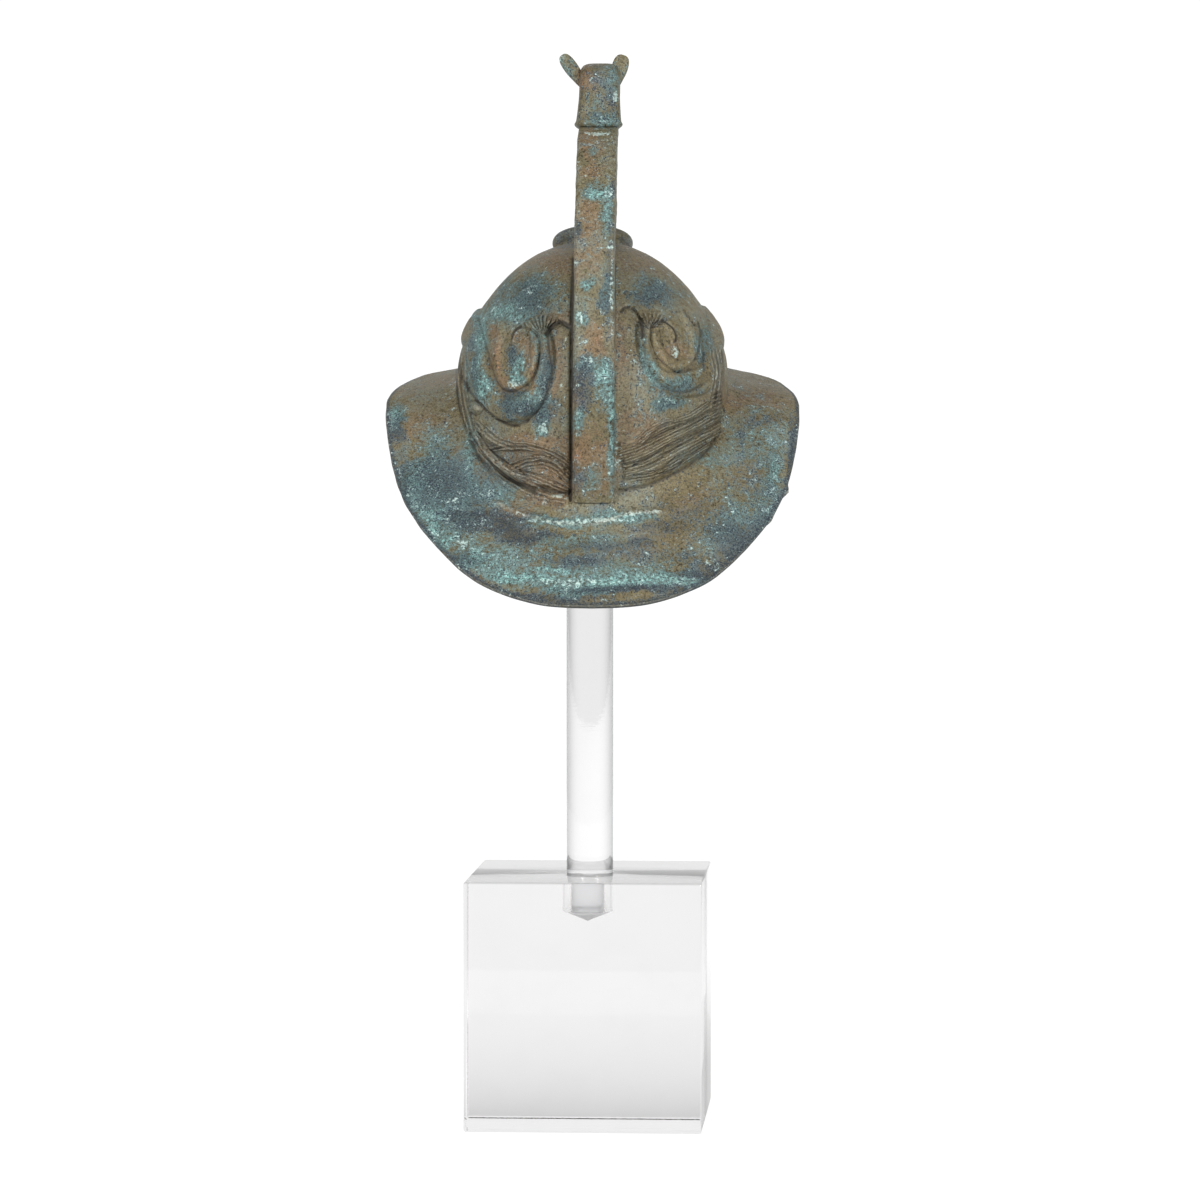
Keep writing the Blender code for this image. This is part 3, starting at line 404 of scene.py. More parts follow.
@dataclass(frozen=True)
class PhotoCamera:
    """The camera that took the photograph, behind the helmet and a little above its brim."""

    place: Triple = (-0.0041, 1.952, 0.2918)
    pitch: float = math.radians(2.38)
    focal_pixels: float = 4805.0
    sensor_mm: float = 36.0

    def add(self) -> bpy.types.Object:
        """Add the camera to the scene and make it the active one.

        Returns:
            The camera's object.
        """
        data = bpy.data.cameras.new("photo_camera")
        data.sensor_width = self.sensor_mm
        data.lens = self.focal_pixels / PHOTO_SIZE * self.sensor_mm
        made = bpy.data.objects.new("photo_camera", data)
        made.location = self.place
        made.rotation_euler = (math.pi / 2 - self.pitch, 0, math.pi)
        bpy.context.scene.collection.objects.link(made)
        bpy.context.scene.camera = made
        return made

    def pixels(self, points: np.ndarray) -> np.ndarray:
        """Find where points of the model lie in the photograph.

        Args:
            points: World points in metres.

        Returns:
            Their x and y in pixels.
        """
        away = points - np.array(self.place)
        ahead = np.array([0, -math.cos(self.pitch), -math.sin(self.pitch)])
        up = np.array([0, -math.sin(self.pitch), math.cos(self.pitch)])
        depth = away @ ahead
        x = PHOTO_SIZE / 2 - self.focal_pixels * away[..., 0] / depth
        y = PHOTO_SIZE / 2 - self.focal_pixels * (away @ up) / depth
        return np.stack([x, y], axis=-1)

    def facing(self, points: np.ndarray, normals: np.ndarray) -> np.ndarray:
        """Give how squarely surface points face the camera, from -1 to 1."""
        toward = np.array(self.place) - points
        return np.sum(normals * toward, axis=-1) / np.linalg.norm(toward, axis=-1)


CAMERA = PhotoCamera()


@dataclass(frozen=True)
class HelmetPose:
    """Where the helmet sits on its rod: it is tilted back towards its nape."""

    height: float = 302 * MM
    shift: float = -1.1 * MM
    tilt: float = math.radians(12)

    def matrix(self) -> Matrix:
        """Give the matrix from the helmet's own frame to the world."""
        return Matrix.Translation((self.shift, 0, self.height)) @ Matrix.Rotation(-self.tilt, 4, "X")

    def world(self, points: np.ndarray) -> np.ndarray:
        """Take points from the helmet's own frame to the world."""
        turn = np.array(self.matrix().to_3x3())
        return points @ turn.T + np.array([self.shift, 0, self.height])


POSE = HelmetPose()


class Graph:
    """Adds and links the nodes of one material or world."""

    def __init__(self, owner: bpy.types.Material | bpy.types.World, shader: str, coordinates: str) -> None:
        """Start on the nodes of a new material or world.

        Args:
            owner: The material or world.
            shader: The name of its shader node.
            coordinates: The coordinates that its patterns lie in.
        """
        owner.use_nodes = True
        self.owner = owner
        self.nodes = owner.node_tree.nodes
        self.links = owner.node_tree.links
        self.shader = self.nodes[shader].inputs
        self.coordinates = self.nodes.new("ShaderNodeTexCoord").outputs[coordinates]

    @classmethod
    def material(cls, name: str) -> "Graph":
        """Start a material of that name."""
        return cls(bpy.data.materials.new(name), "Principled BSDF", "Object")

    def feed(self, socket: Socket, value: object) -> None:
        """Link a socket into another, or set its value.

        Args:
            socket: The input to fill.
            value: An output socket, a number or a colour.
        """
        if isinstance(value, Socket):
            self.links.new(value, socket)
        elif isinstance(value, tuple) and len(value) == 3 and socket.type == "RGBA":
            socket.default_value = (*value, 1.0)
        else:
            socket.default_value = value

    def add(self, kind: str, inputs: dict[str | int, object], **settings: str) -> bpy.types.NodeOutputs:
        """Add a node.

        Args:
            kind: Its type.
            inputs: What its inputs are linked to or set to.
            settings: Its other settings.

        Returns:
            Its outputs.
        """
        node = self.nodes.new(kind)
        for name, value in settings.items():
            setattr(node, name, value)
        for key, value in inputs.items():
            self.feed(node.inputs[key], value)
        return node.outputs

    def noise(self, scale: float, detail: float, roughness: float, distortion: float = 0.0) -> Socket:
        """Give a noise pattern over the coordinates."""
        sizes = {"Scale": scale, "Detail": detail, "Roughness": roughness, "Distortion": distortion}
        return self.add("ShaderNodeTexNoise", {"Vector": self.coordinates, **sizes})["Fac"]

    def share(self, name: str) -> Socket:
        """Read a mesh attribute that holds a share at each point."""
        return self.add("ShaderNodeAttribute", {}, attribute_name=name)["Fac"]

    def math(self, operation: str, *values: object) -> Socket:
        """Work out a number from others."""
        return self.add("ShaderNodeMath", dict(enumerate(values)), operation=operation)[0]

    def ramp(
        self, value: object, low: float, high: float, to_low: float = 0.0, to_high: float = 1.0
    ) -> Socket:
        """Map a value smoothly from one range to another.

        Args:
            value: The value.
            low: The start of its range.
            high: The end of its range.
            to_low: What the start becomes.
            to_high: What the end becomes.

        Returns:
            The new value's socket.
        """
        inputs = {"Value": value, "From Min": low, "From Max": high, "To Min": to_low, "To Max": to_high}
        return self.add("ShaderNodeMapRange", inputs, interpolation_type="SMOOTHSTEP")["Result"]

    def mix(self, factor: object, first: object, second: object) -> Socket:
        """Mix two colours."""
        return self.add("ShaderNodeMix", {0: factor, 6: first, 7: second}, data_type="RGBA")[2]

    def mix_number(self, factor: object, first: object, second: object) -> Socket:
        """Mix two numbers."""
        return self.add("ShaderNodeMix", {0: factor, 2: first, 3: second})[0]

    def scaled(self, colour: object, factor: object) -> Socket:
        """Multiply a colour by a number."""
        return self.add("ShaderNodeVectorMath", {0: colour, "Scale": factor}, operation="SCALE")[0]

    def bump(self, height: object, strength: float, distance: float) -> Socket:
        """Turn a height into the normals of a rough surface."""
        sizes = {"Height": height, "Strength": strength, "Distance": distance}
        return self.add("ShaderNodeBump", sizes)["Normal"]

    def broken(self, amount: object, *patterns: tuple[object, float]) -> Socket:
        """Break a share up with patterns.

        Args:
            amount: The share.
            patterns: Pattern values, each with how strongly it breaks the share up.

        Returns:
            The sum of the share and the patterns, each taken about its middle.
        """
        total = amount
        for value, strength in patterns:
            centred = self.math("SUBTRACT", value, 0.5)
            total = self.math("ADD", total, self.math("MULTIPLY", centred, strength))
        return total

    def mask(self, amount: object, softness: float, *patterns: tuple[object, float]) -> Socket:
        """Turn a share into patches that cover about that share of the surface.

        Args:
            amount: The share.
            softness: Half the width of the patches' fading edge.
            patterns: Pattern values, each with how strongly it shapes the patches.

        Returns:
            1 inside the patches and 0 outside.
        """
        return self.ramp(self.broken(amount, *patterns), 0.5 - softness, 0.5 + softness)


@dataclass(frozen=True)
class Coat:
    """One layer of the patina.

    A stain's share, times the gain and plus the offset, says how much of the surface it takes up.
    """

    colour: str
    stain: Stain
    gain: float
    offset: float
    softness: float
    cover: float
    patterns: dict[str, float]


# From the metal outwards
COATS = {
    "warmth": Coat("brown", Stain.WARM, 1.0, 0.0, 0.14, 0.85, {"mottle": 1.4, "cloud": 0.8}),
    "rust": Coat("orange", Stain.WARM, 1.0, -0.46, 0.08, 0.75, {"mottle": 1.8, "grit": 1.2}),
    "film": Coat("tarnish", Stain.TEAL, 1.0, 0.12, 0.24, 0.72, {"cloud": 1.2, "mottle": 1.4, "grit": 1.0}),
    "crust": Coat("teal", Stain.TEAL, 1.0, -0.06, 0.12, 0.80, {"mottle": 1.2, "grit": 2.0, "speck": 0.8}),
    "bright": Coat("turquoise", Stain.TEAL, 1.0, -0.40, 0.09, 0.85, {"mottle": 1.3, "grit": 2.2}),
    "smear": Coat("slate", Stain.DARK, 1.0, 0.0, 0.30, 0.50, {"cloud": 1.0, "mottle": 1.6, "grit": 0.8}),
    "ink": Coat("ink", Stain.DARK, 0.66, 0.0, 0.08, 0.92, {"speck": 3.4, "grit": 3.0, "mottle": 1.4}),
    "pits": Coat("ink", Stain.DARK, 0.20, 0.13, 0.06, 0.80, {"speck": 2.6, "mottle": 1.4}),
    "dust": Coat("pale", Stain.TEAL, 0.30, -0.02, 0.10, 0.24, {"speck": -2.0, "mottle": 2.2}),
    # Pale bloom, with the painted highlights that its share also holds
    "bloom": Coat("pale", Stain.PALE, 1.0, 0.0, 0.14, 0.75, {"grit": 2.6, "mottle": 1.6}),
}


@dataclass(frozen=True)
class PatinatedBronze:
    """Cast bronze under layers of brown patina, verdigris and dark speckle, darkened in its hollows and
    lightened on its ridges partly by painted shade and painted highlight.
    """

    name: str
    ground: Triple = (0.195, 0.160, 0.082)
    grey: Triple = (0.205, 0.188, 0.122)
    brown: Triple = (0.215, 0.140, 0.072)
    orange: Triple = (0.300, 0.150, 0.074)
    green: Triple = (0.150, 0.180, 0.140)
    slate: Triple = (0.095, 0.140, 0.160)
    teal: Triple = (0.135, 0.240, 0.245)
    turquoise: Triple = (0.220, 0.430, 0.405)
    pale: Triple = (0.420, 0.540, 0.510)
    # Pale colour of ridges, raised edges and strand crowns; on the ridges partly rubbed metal, partly painted
    # highlight
    worn: Triple = (0.360, 0.340, 0.270)
    ink: Triple = (0.020, 0.029, 0.040)
    # Near-black of the hollows and grooves: partly patina lying in them, partly painted shade
    crevice_patina_and_shade: Triple = (0.022, 0.017, 0.011)
    metallic: float = 0.12
    cloud_scale: float = 48.0
    mottle_scale: float = 230.0
    grit_scale: float = 820.0
    speck_scale: float = 1500.0
    strand_sway: float = 9.0
    crown_wear: float = 0.45
    bump_strength: float = 0.9
    bump_depth: float = 0.42 * MM

    def build(self) -> bpy.types.Material:
        """Make the material.

        Returns:
            The material, which reads the shares that paint() leaves on a mesh.
        """
        graph = Graph.material(self.name)
        cloud = graph.noise(self.cloud_scale, detail=5, roughness=0.6, distortion=0.6)
        mottle = graph.noise(self.mottle_scale, detail=6, roughness=0.65, distortion=0.8)
        grit = graph.noise(self.grit_scale, detail=5, roughness=0.7, distortion=0.3)
        speck = graph.noise(self.speck_scale, detail=3, roughness=0.6)
        patterns = {"cloud": cloud, "mottle": mottle, "grit": grit, "speck": speck}
        shares = {stain: graph.share(stain.value) for stain in Stain}

        coat = graph.mix(graph.mask(0.5, 0.16, (cloud, 1.6), (mottle, 1.0)), self.ground, self.grey)
        aged = graph.mask(shares[Stain.DARK], 0.20, (cloud, 1.2), (mottle, 1.0))
        colours = {
            "brown": self.brown, "orange": self.orange, "teal": self.teal, "turquoise": self.turquoise,
            "slate": self.slate, "ink": self.ink, "pale": self.pale,
            "tarnish": graph.mix(aged, self.green, self.slate),
        }
        laid = {}
        for name, layer in COATS.items():
            amount = graph.math("MULTIPLY_ADD", shares[layer.stain], layer.gain, layer.offset)
            strengths = [(patterns[pattern], strength) for pattern, strength in layer.patterns.items()]
            laid[name] = graph.mask(amount, layer.softness, *strengths)
            coat = graph.mix(graph.math("MULTIPLY", laid[name], layer.cover), coat, colours[layer.colour])

        turn = graph.math("MULTIPLY", graph.share("strand"), 2 * math.pi)
        turn = graph.math("ADD", turn, graph.math("MULTIPLY", mottle, self.strand_sway))
        combed = graph.share("combed")
        line = graph.math("MULTIPLY_ADD", graph.math("COSINE", turn), -0.5, 0.5)
        groove = graph.math("MULTIPLY", graph.ramp(line, 0.42, 0.05), combed)
        crown = graph.math("MULTIPLY", graph.ramp(line, 0.72, 1.0), combed)
        # Ridges and raised edges take the pale worn colour, partly rubbed metal and partly painted highlight;
        # the crowns of the hair strands take it too
        ridge = graph.broken(graph.share("ridge"), (grit, 1.2), (mottle, 0.8))
        rubbed = graph.math("MULTIPLY", crown, self.crown_wear)
        bare = graph.ramp(ridge, 0.30, 0.95, 0.0, 0.50)
        coat = graph.mix(graph.math("MAXIMUM", bare, rubbed), coat, self.worn)
        # Hollows and hair grooves take the near-black colour: partly patina lying in them, partly painted
        # shade
        hollow = graph.broken(graph.share("hollow"), (grit, 0.8), (mottle, 0.9))
        uneven = graph.ramp(graph.broken(mottle, (grit, 0.8)), 0.30, 0.66, 0.02, 0.72)
        groove_patina_and_shade = graph.math("MULTIPLY", groove, uneven)
        deep = graph.ramp(hollow, 0.14, 0.90, 0.0, 0.90)
        coat = graph.mix(graph.math("MAXIMUM", deep, groove_patina_and_shade), coat, self.crevice_patina_and_shade)
        tone = graph.broken(1.0, (cloud, 0.60), (mottle, 1.90), (grit, 3.90), (speck, 2.40))
        graph.feed(graph.shader["Base Color"], graph.scaled(coat, tone))

        crusted = graph.broken(shares[Stain.TEAL], (mottle, 0.8), (grit, 0.6))
        graph.feed(graph.shader["Roughness"], graph.ramp(crusted, 0.0, 1.0, 0.50, 0.78))
        graph.feed(graph.shader["Metallic"], self.metallic)

        height = graph.math("MULTIPLY", grit, 0.50)
        lifts = (
            (mottle, 0.9), (laid["crust"], 0.22), (laid["ink"], -0.20), (laid["pits"], -0.35),
            (graph.math("MULTIPLY", line, combed), 1.3),
        )
        for pattern, lift in lifts:
            height = graph.math("MULTIPLY_ADD", pattern, lift, height)
        graph.feed(graph.shader["Normal"], graph.bump(height, self.bump_strength, self.bump_depth))
        return graph.owner


@dataclass(frozen=True)
class ClearAcrylic:
    """Polished clear acrylic, with faint machining marks and dust, and painted shade at its grazing edges
    where edge_share is set.
    """

    name: str
    tint: Triple = (0.986, 0.980, 0.984)
    cloudy: Triple = (0.955, 0.956, 0.962)
    ground_glass: Triple = (0.945, 0.950, 0.955)
    refraction: float = 1.49
    frost: float = 0.30
    # Grey painted in as shade where the surface turns away from the view, and how much of it
    edge_shade_grey: Triple = (0.30, 0.31, 0.32)
    edge_share: float = 0.0
    haze_scale: float = 60.0
    scuff_scale: float = 420.0
    scratch_strength: float = 0.2
    scratch_depth: float = 0.02 * MM

    def build(self) -> bpy.types.Material:
        """Make the material.

        Returns:
            The clear material.
        """
        graph = Graph.material(self.name)
        graph.feed(graph.shader["Transmission Weight"], 1.0)
        graph.feed(graph.shader["IOR"], self.refraction)
        haze = graph.noise(self.haze_scale, detail=3, roughness=0.5)
        clouded = graph.mix(graph.ramp(haze, 0.45, 0.75), self.tint, self.cloudy)
        # Darken the colour where the surface turns away from the view: painted shade standing for the dark
        # rim at the clear parts' edges
        turned_away = graph.add("ShaderNodeLayerWeight", {"Blend": 0.5})["Facing"]
        edge = graph.ramp(turned_away, 0.04, 0.86, 0.0, self.edge_share)
        clouded = graph.mix(edge, clouded, self.edge_shade_grey)
        drilled = graph.share("drilled")
        graph.feed(graph.shader["Base Color"], graph.mix(drilled, clouded, self.ground_glass))
        polished = graph.ramp(haze, 0.4, 0.8, 0.01, 0.05)
        graph.feed(graph.shader["Roughness"], graph.mix_number(drilled, polished, self.frost))
        scuff = graph.noise(self.scuff_scale, detail=3, roughness=0.6, distortion=1.5)
        graph.feed(graph.shader["Normal"], graph.bump(scuff, self.scratch_strength, self.scratch_depth))
        return graph.owner


def new_object(name: str, body: bmesh.types.BMesh, sharp: float = 40.0) -> bpy.types.Object:
    """Turn a bmesh into a smooth shaded object of the scene.

    Args:
        name: The object's name.
        body: The shape, which is freed.
        sharp: The angle in degrees above which an edge stays sharp.

    Returns:
        The new object, at the origin.
    """
    mesh = bpy.data.meshes.new(name)
    body.to_mesh(mesh)
    body.free()
    mesh.shade_smooth()
    mesh.set_sharp_from_angle(angle=math.radians(sharp))
    made = bpy.data.objects.new(name, mesh)
    bpy.context.scene.collection.objects.link(made)
    return made


def settle(made: bpy.types.Object, sharp: float = 40.0) -> bpy.types.Object:
    """Apply an object's modifiers and remove them.

    Args:
        made: The object.
        sharp: The angle in degrees above which an edge stays sharp.

    Returns:
        The same object with its final mesh.
    """
    bpy.context.view_layer.update()
    mesh = bpy.data.meshes.new_from_object(made.evaluated_get(bpy.context.evaluated_depsgraph_get()))
    made.modifiers.clear()
    mesh.name = made.name
    made.data = mesh
    mesh.shade_smooth()
    mesh.set_sharp_from_angle(angle=math.radians(sharp))
    return made


def boolean(target: bpy.types.Object, tool: bpy.types.Object, operation: str) -> None:
    """Join a tool object to a target, or cut the target with it, and remove the tool.

    Args:
        target: The piece to change.
        tool: The object to join or cut with.
        operation: UNION or DIFFERENCE.
    """
    step = target.modifiers.new(operation.lower(), "BOOLEAN")
    step.operation = operation
    step.solver = "EXACT"
    step.object = tool
    settle(target)
    bpy.data.objects.remove(tool)


def wrapped_grid(points: np.ndarray, rim: np.ndarray | None = None) -> bmesh.types.BMesh:
    """Lay a grid of vertices on rows of points and weld its seams.

    Args:
        points: Rows of points, of the shape rows by columns by 3.
        rim: How near each row lies to the rim, kept on the mesh as a share.

    Returns:
        A closed body with its faces pointing outwards.
    """
    rows, columns = points.shape[:2]
    body = bmesh.new()
    bmesh.ops.create_grid(body, x_segments=columns - 1, y_segments=rows - 1, size=0.5)
    layer = None if rim is None else body.verts.layers.float.new("rim")
    for vert in body.verts:
        column = round((vert.co.x + 0.5) * (columns - 1))
        row = round((vert.co.y + 0.5) * (rows - 1))
        vert.co = points[row, column]
        if layer is not None:
            vert[layer] = rim[row]
    bmesh.ops.remove_doubles(body, verts=body.verts, dist=WELD)
    bmesh.ops.recalc_face_normals(body, faces=body.faces)
    return body


def closed_rings(rings: list[list[Vector]] | np.ndarray) -> bmesh.types.BMesh:
    """Close rings of points in the helmet's own frame into one body.

    Args:
        rings: Rings of equal counts, each ending on its first point.

    Returns:
        The body, in the world.
    """
    points = np.array(rings)
    caps = [np.broadcast_to(points[end].mean(axis=0), points[end].shape)[None] for end in (0, -1)]
    return wrapped_grid(POSE.world(np.concatenate([caps[0], points, caps[1]])))


def spun(profile: Table | list[Row], steps: int) -> bmesh.types.BMesh:
    """Spin a profile round the Z axis into a closed body.

    Args:
        profile: Pairs of radius and height.
        steps: How many sides the body has.

    Returns:
        The body.
    """
    body = bmesh.new()
    verts = [body.verts.new((radius, 0, height)) for radius, height in profile]
    edges = [body.edges.new(pair) for pair in zip(verts, verts[1:])]
    bmesh.ops.spin(
        body, geom=verts + edges, cent=(0, 0, 0), axis=(0, 0, 1), angle=2 * math.pi, steps=steps,
        use_merge=True,
    )
    bmesh.ops.remove_doubles(body, verts=body.verts, dist=WELD)
    bmesh.ops.recalc_face_normals(body, faces=body.faces)
    return body


def joined_spans(spans: Table) -> np.ndarray:
    """Divide stretches that follow each other.

    Args:
        spans: The start, the end and the number of points of each stretch.

    Returns:
        The points, each shared one once.
    """
    parts = [np.linspace(start, end, count) for start, end, count in spans]
    return np.concatenate([parts[0], *(part[1:] for part in parts[1:])])


def mesh_points(mesh: bpy.types.Mesh) -> np.ndarray:
    """Read where a mesh's points lie."""
    points = np.empty(len(mesh.vertices) * 3)
    mesh.vertices.foreach_get("co", points)
    return points.reshape(-1, 3)


def leave(mesh: bpy.types.Mesh, name: str, values: np.ndarray) -> None:
    """Leave a number at each point of a mesh, under a name that a material can read."""
    mesh.attributes.new(name, "FLOAT", "POINT").data.foreach_set("value", values.astype(np.float32))


def near_path(pixels: np.ndarray, line: np.ndarray, reach: float) -> tuple[np.ndarray, np.ndarray]:
    """Find the points near a line of the photograph.

    Args:
        pixels: Points in pixels.
        line: The line's points in pixels.
        reach: How far from the line a point may be.

    Returns:
        The indexes of the near points, and their distances from each point of the line.
    """
    inside = (pixels > line.min(axis=0) - reach) & (pixels < line.max(axis=0) + reach)
    near = np.flatnonzero(np.all(inside, axis=1))
    return near, np.linalg.norm(pixels[near, None, :] - line[None, :, :], axis=2)


def chased_height(pixels: np.ndarray) -> np.ndarray:
    """Give the height of the chased lines.

    Args:
        pixels: Points in pixels of the photograph.

    Returns:
        Millimetres, below 0 in a groove.
    """
    raised = np.zeros(len(pixels))
    for half_width, depth, points in CHASED:
        longest = np.linalg.norm(np.diff(points, axis=0), axis=1).max()
        line = smooth_path(points, math.ceil(longest / (0.6 * half_width)))
        near, away = near_path(pixels, line, 3 * half_width)
        if len(near):
            raised[near] += depth * np.exp(-((away.min(axis=1) / half_width) ** 2))
    return raised


def combed_shares(pixels: np.ndarray, seen: np.ndarray) -> dict[str, np.ndarray]:
    """Work out the hair lines and feathers at points of the photograph.

    Args:
        pixels: Points in pixels.
        seen: How far each point faces the camera.

    Returns:
        For each point, how many lines it lies across from the middle of its bundle, and how combed it is.
    """
    strand = np.zeros(len(pixels))
    combed = np.zeros(len(pixels))
    for half_width, spacing, points in COMBED:
        line = smooth_path(points, 10)
        near, away = near_path(pixels, line, half_width)
        closest = away.argmin(axis=1)
        along = np.gradient(line, axis=0)[closest]
        along = along / np.linalg.norm(along, axis=1, keepdims=True)
        offset = pixels[near] - line[closest]
        across = along[:, 0] * offset[:, 1] - along[:, 1] * offset[:, 0]
        ahead = np.abs(np.sum(along * offset, axis=1))
        strength = 1 - smooth_step(np.abs(across) / half_width, 0.7, 1.0)
        strength = strength * (1 - smooth_step(ahead, 1.0, 4.0))
        better = strength > combed[near]
        strand[near[better]] = across[better] / spacing
        combed[near[better]] = strength[better]
    for fan in FANS:
        offset = pixels - np.array(fan.root)
        distance = np.hypot(offset[:, 0], offset[:, 1])
        angle = np.degrees(np.arctan2(offset[:, 0], -offset[:, 1]))
        inside = (angle > fan.low) & (angle < fan.high)
        strength = smooth_step(distance, fan.inner - 2, fan.inner) * inside
        strength = strength * (1 - smooth_step(distance, fan.outer - 3, fan.outer))
        better = strength > combed
        strand[better] = ((angle - fan.low) / (fan.high - fan.low) * fan.rays)[better]
        combed[better] = strength[better]
    return {"strand": strand, "combed": combed * seen}


def skin_tree(made: bpy.types.Object) -> BVHTree:
    """Make a search tree of a surface.

    Args:
        made: The object that has the surface.

    Returns:
        The tree, in the world.
    """
    skin = bmesh.new()
    skin.from_mesh(made.data)
    tree = BVHTree.FromBMesh(skin)
    skin.free()
    return tree


def in_view(made: bpy.types.Object, points: np.ndarray, normals: np.ndarray) -> np.ndarray:
    """Give how much of each surface point the camera sees.

    Args:
        made: The object that the points lie on.
        points: The points.
        normals: Their normals.

    Returns:
        1 where a point faces the camera, and 0 where it faces away or the object hides it.
    """
    seen = smooth_step(CAMERA.facing(points, normals), *SEEN_FADE)
    tree = skin_tree(made)
    clear_of_skin = 0.5 * MM
    starts = points + normals * clear_of_skin
    for index in np.flatnonzero(seen > 0):
        start = Vector(starts[index])
        if tree.ray_cast(start, Vector(CAMERA.place) - start)[0] is not None:
            seen[index] = 0
    return seen


def paint(made: bpy.types.Object, blur: int = 2, reach: float = 0.30, chased: bool = False) -> None:
    """Leave on a mesh how hollow or raised each point is, and what tarnish and painted highlight lies there.

    A patch's outline is warped by noise of two sizes, so that it looks grown.

    Args:
        made: The object, whose place is in its mesh.
        blur: How many times the measured form is spread to the neighbours.
        reach: The slope to the neighbours that counts as fully hollow or raised.
        chased: Whether the chased lines, hair and feathers lie on it.
    """
    mesh = made.data
    points = mesh_points(mesh)
    count = len(points)
    normals = np.array([tuple(normal.vector) for normal in mesh.vertex_normals])
    ends = np.empty(len(mesh.edges) * 2, dtype=int)
    mesh.edges.foreach_get("vertices", ends)
    first, second = ends.reshape(-1, 2).T
    step = points[second] - points[first]
    length = np.maximum(np.linalg.norm(step, axis=1), WELD)
    valence = np.bincount(ends, minlength=count).clip(1)

    def gathered(toward_first: np.ndarray, toward_second: np.ndarray) -> np.ndarray:
        """Average the edges' values at each vertex."""
        total = np.bincount(first, toward_first, count) + np.bincount(second, toward_second, count)
        return total / valence

    rise = np.sum(step * normals[first], axis=1) / length
    fall = np.sum(-step * normals[second], axis=1) / length
    bend = gathered(rise, fall)
    for _ in range(blur):
        bend = 0.5 * bend + 0.5 * gathered(bend[second], bend[first])
    shares = {"hollow": np.clip(bend / reach, 0, 1), "ridge": np.clip(-bend / reach, 0, 1)}

    seen = in_view(made, points, normals)
    pixels = CAMERA.pixels(points)
    warp = np.stack([
        9 * unevenness(points, 11 * MM, wide) + 5 * unevenness(points, 3.5 * MM, fine)
        for wide, fine in ((0.3, 2.3), (5.9, 8.3))
    ], axis=1)
    for number, (stain, rows) in enumerate(STAINS.items()):
        unseen = UNSEEN_LEVEL[stain] * (1 + 0.9 * unevenness(points, 26 * MM, 4.1 + 2.3 * number))
        bare = np.full(count, 1 - BARE_LEVEL[stain])
        for x, y, half_width, half_height, strength in rows:
            ragged = pixels + warp * min(1.0, min(half_width, half_height) / 10)
            away = np.hypot((ragged[:, 0] - x) / half_width, (ragged[:, 1] - y) / half_height)
            bare = bare * (1 - min(strength, 1.0) * PATCH_COVER * (1 - smooth_step(away, *PATCH_FADE)))
        shares[stain.value] = (1 - bare) * seen + unseen * (1 - seen)
    rim = mesh.attributes.get("rim")
    if rim is not None:
        near_rim = np.empty(count, dtype=np.float32)
        rim.data.foreach_get("value", near_rim)
        shares[Stain.DARK.value] = 1 - (1 - shares[Stain.DARK.value]) * (1 - RIM_TARNISH * near_rim)
    if chased:
        shares.update(combed_shares(pixels, seen))
        lines = chased_height(pixels) * seen
        # Chased grooves are painted dark and raised lines pale: partly patina and rubbed metal, partly
        # painted shade and painted highlight
        shares["hollow"] = np.maximum(shares["hollow"], np.clip(-0.95 * lines, 0, 1))
        shares["ridge"] = np.maximum(shares["ridge"], np.clip(lines, 0, 1))
    for name, values in shares.items():
        leave(mesh, name, values)


def hand_over(made: bpy.types.Object, material: bpy.types.Material, slot: Slot, *nodes: str) -> None:
    """Dress a finished piece and put it in the place of its plain solids.

    Args:
        made: The piece.
        material: Its material.
        slot: The record's slot for its finish; not used.
        nodes: The plain solids that it stands for.
    """
    made.data.materials.clear()
    made.data.materials.append(material)
    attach(made, BODY)
    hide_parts(*nodes)
    LOG.info("%s: %d faces", made.name, len(made.data.polygons))


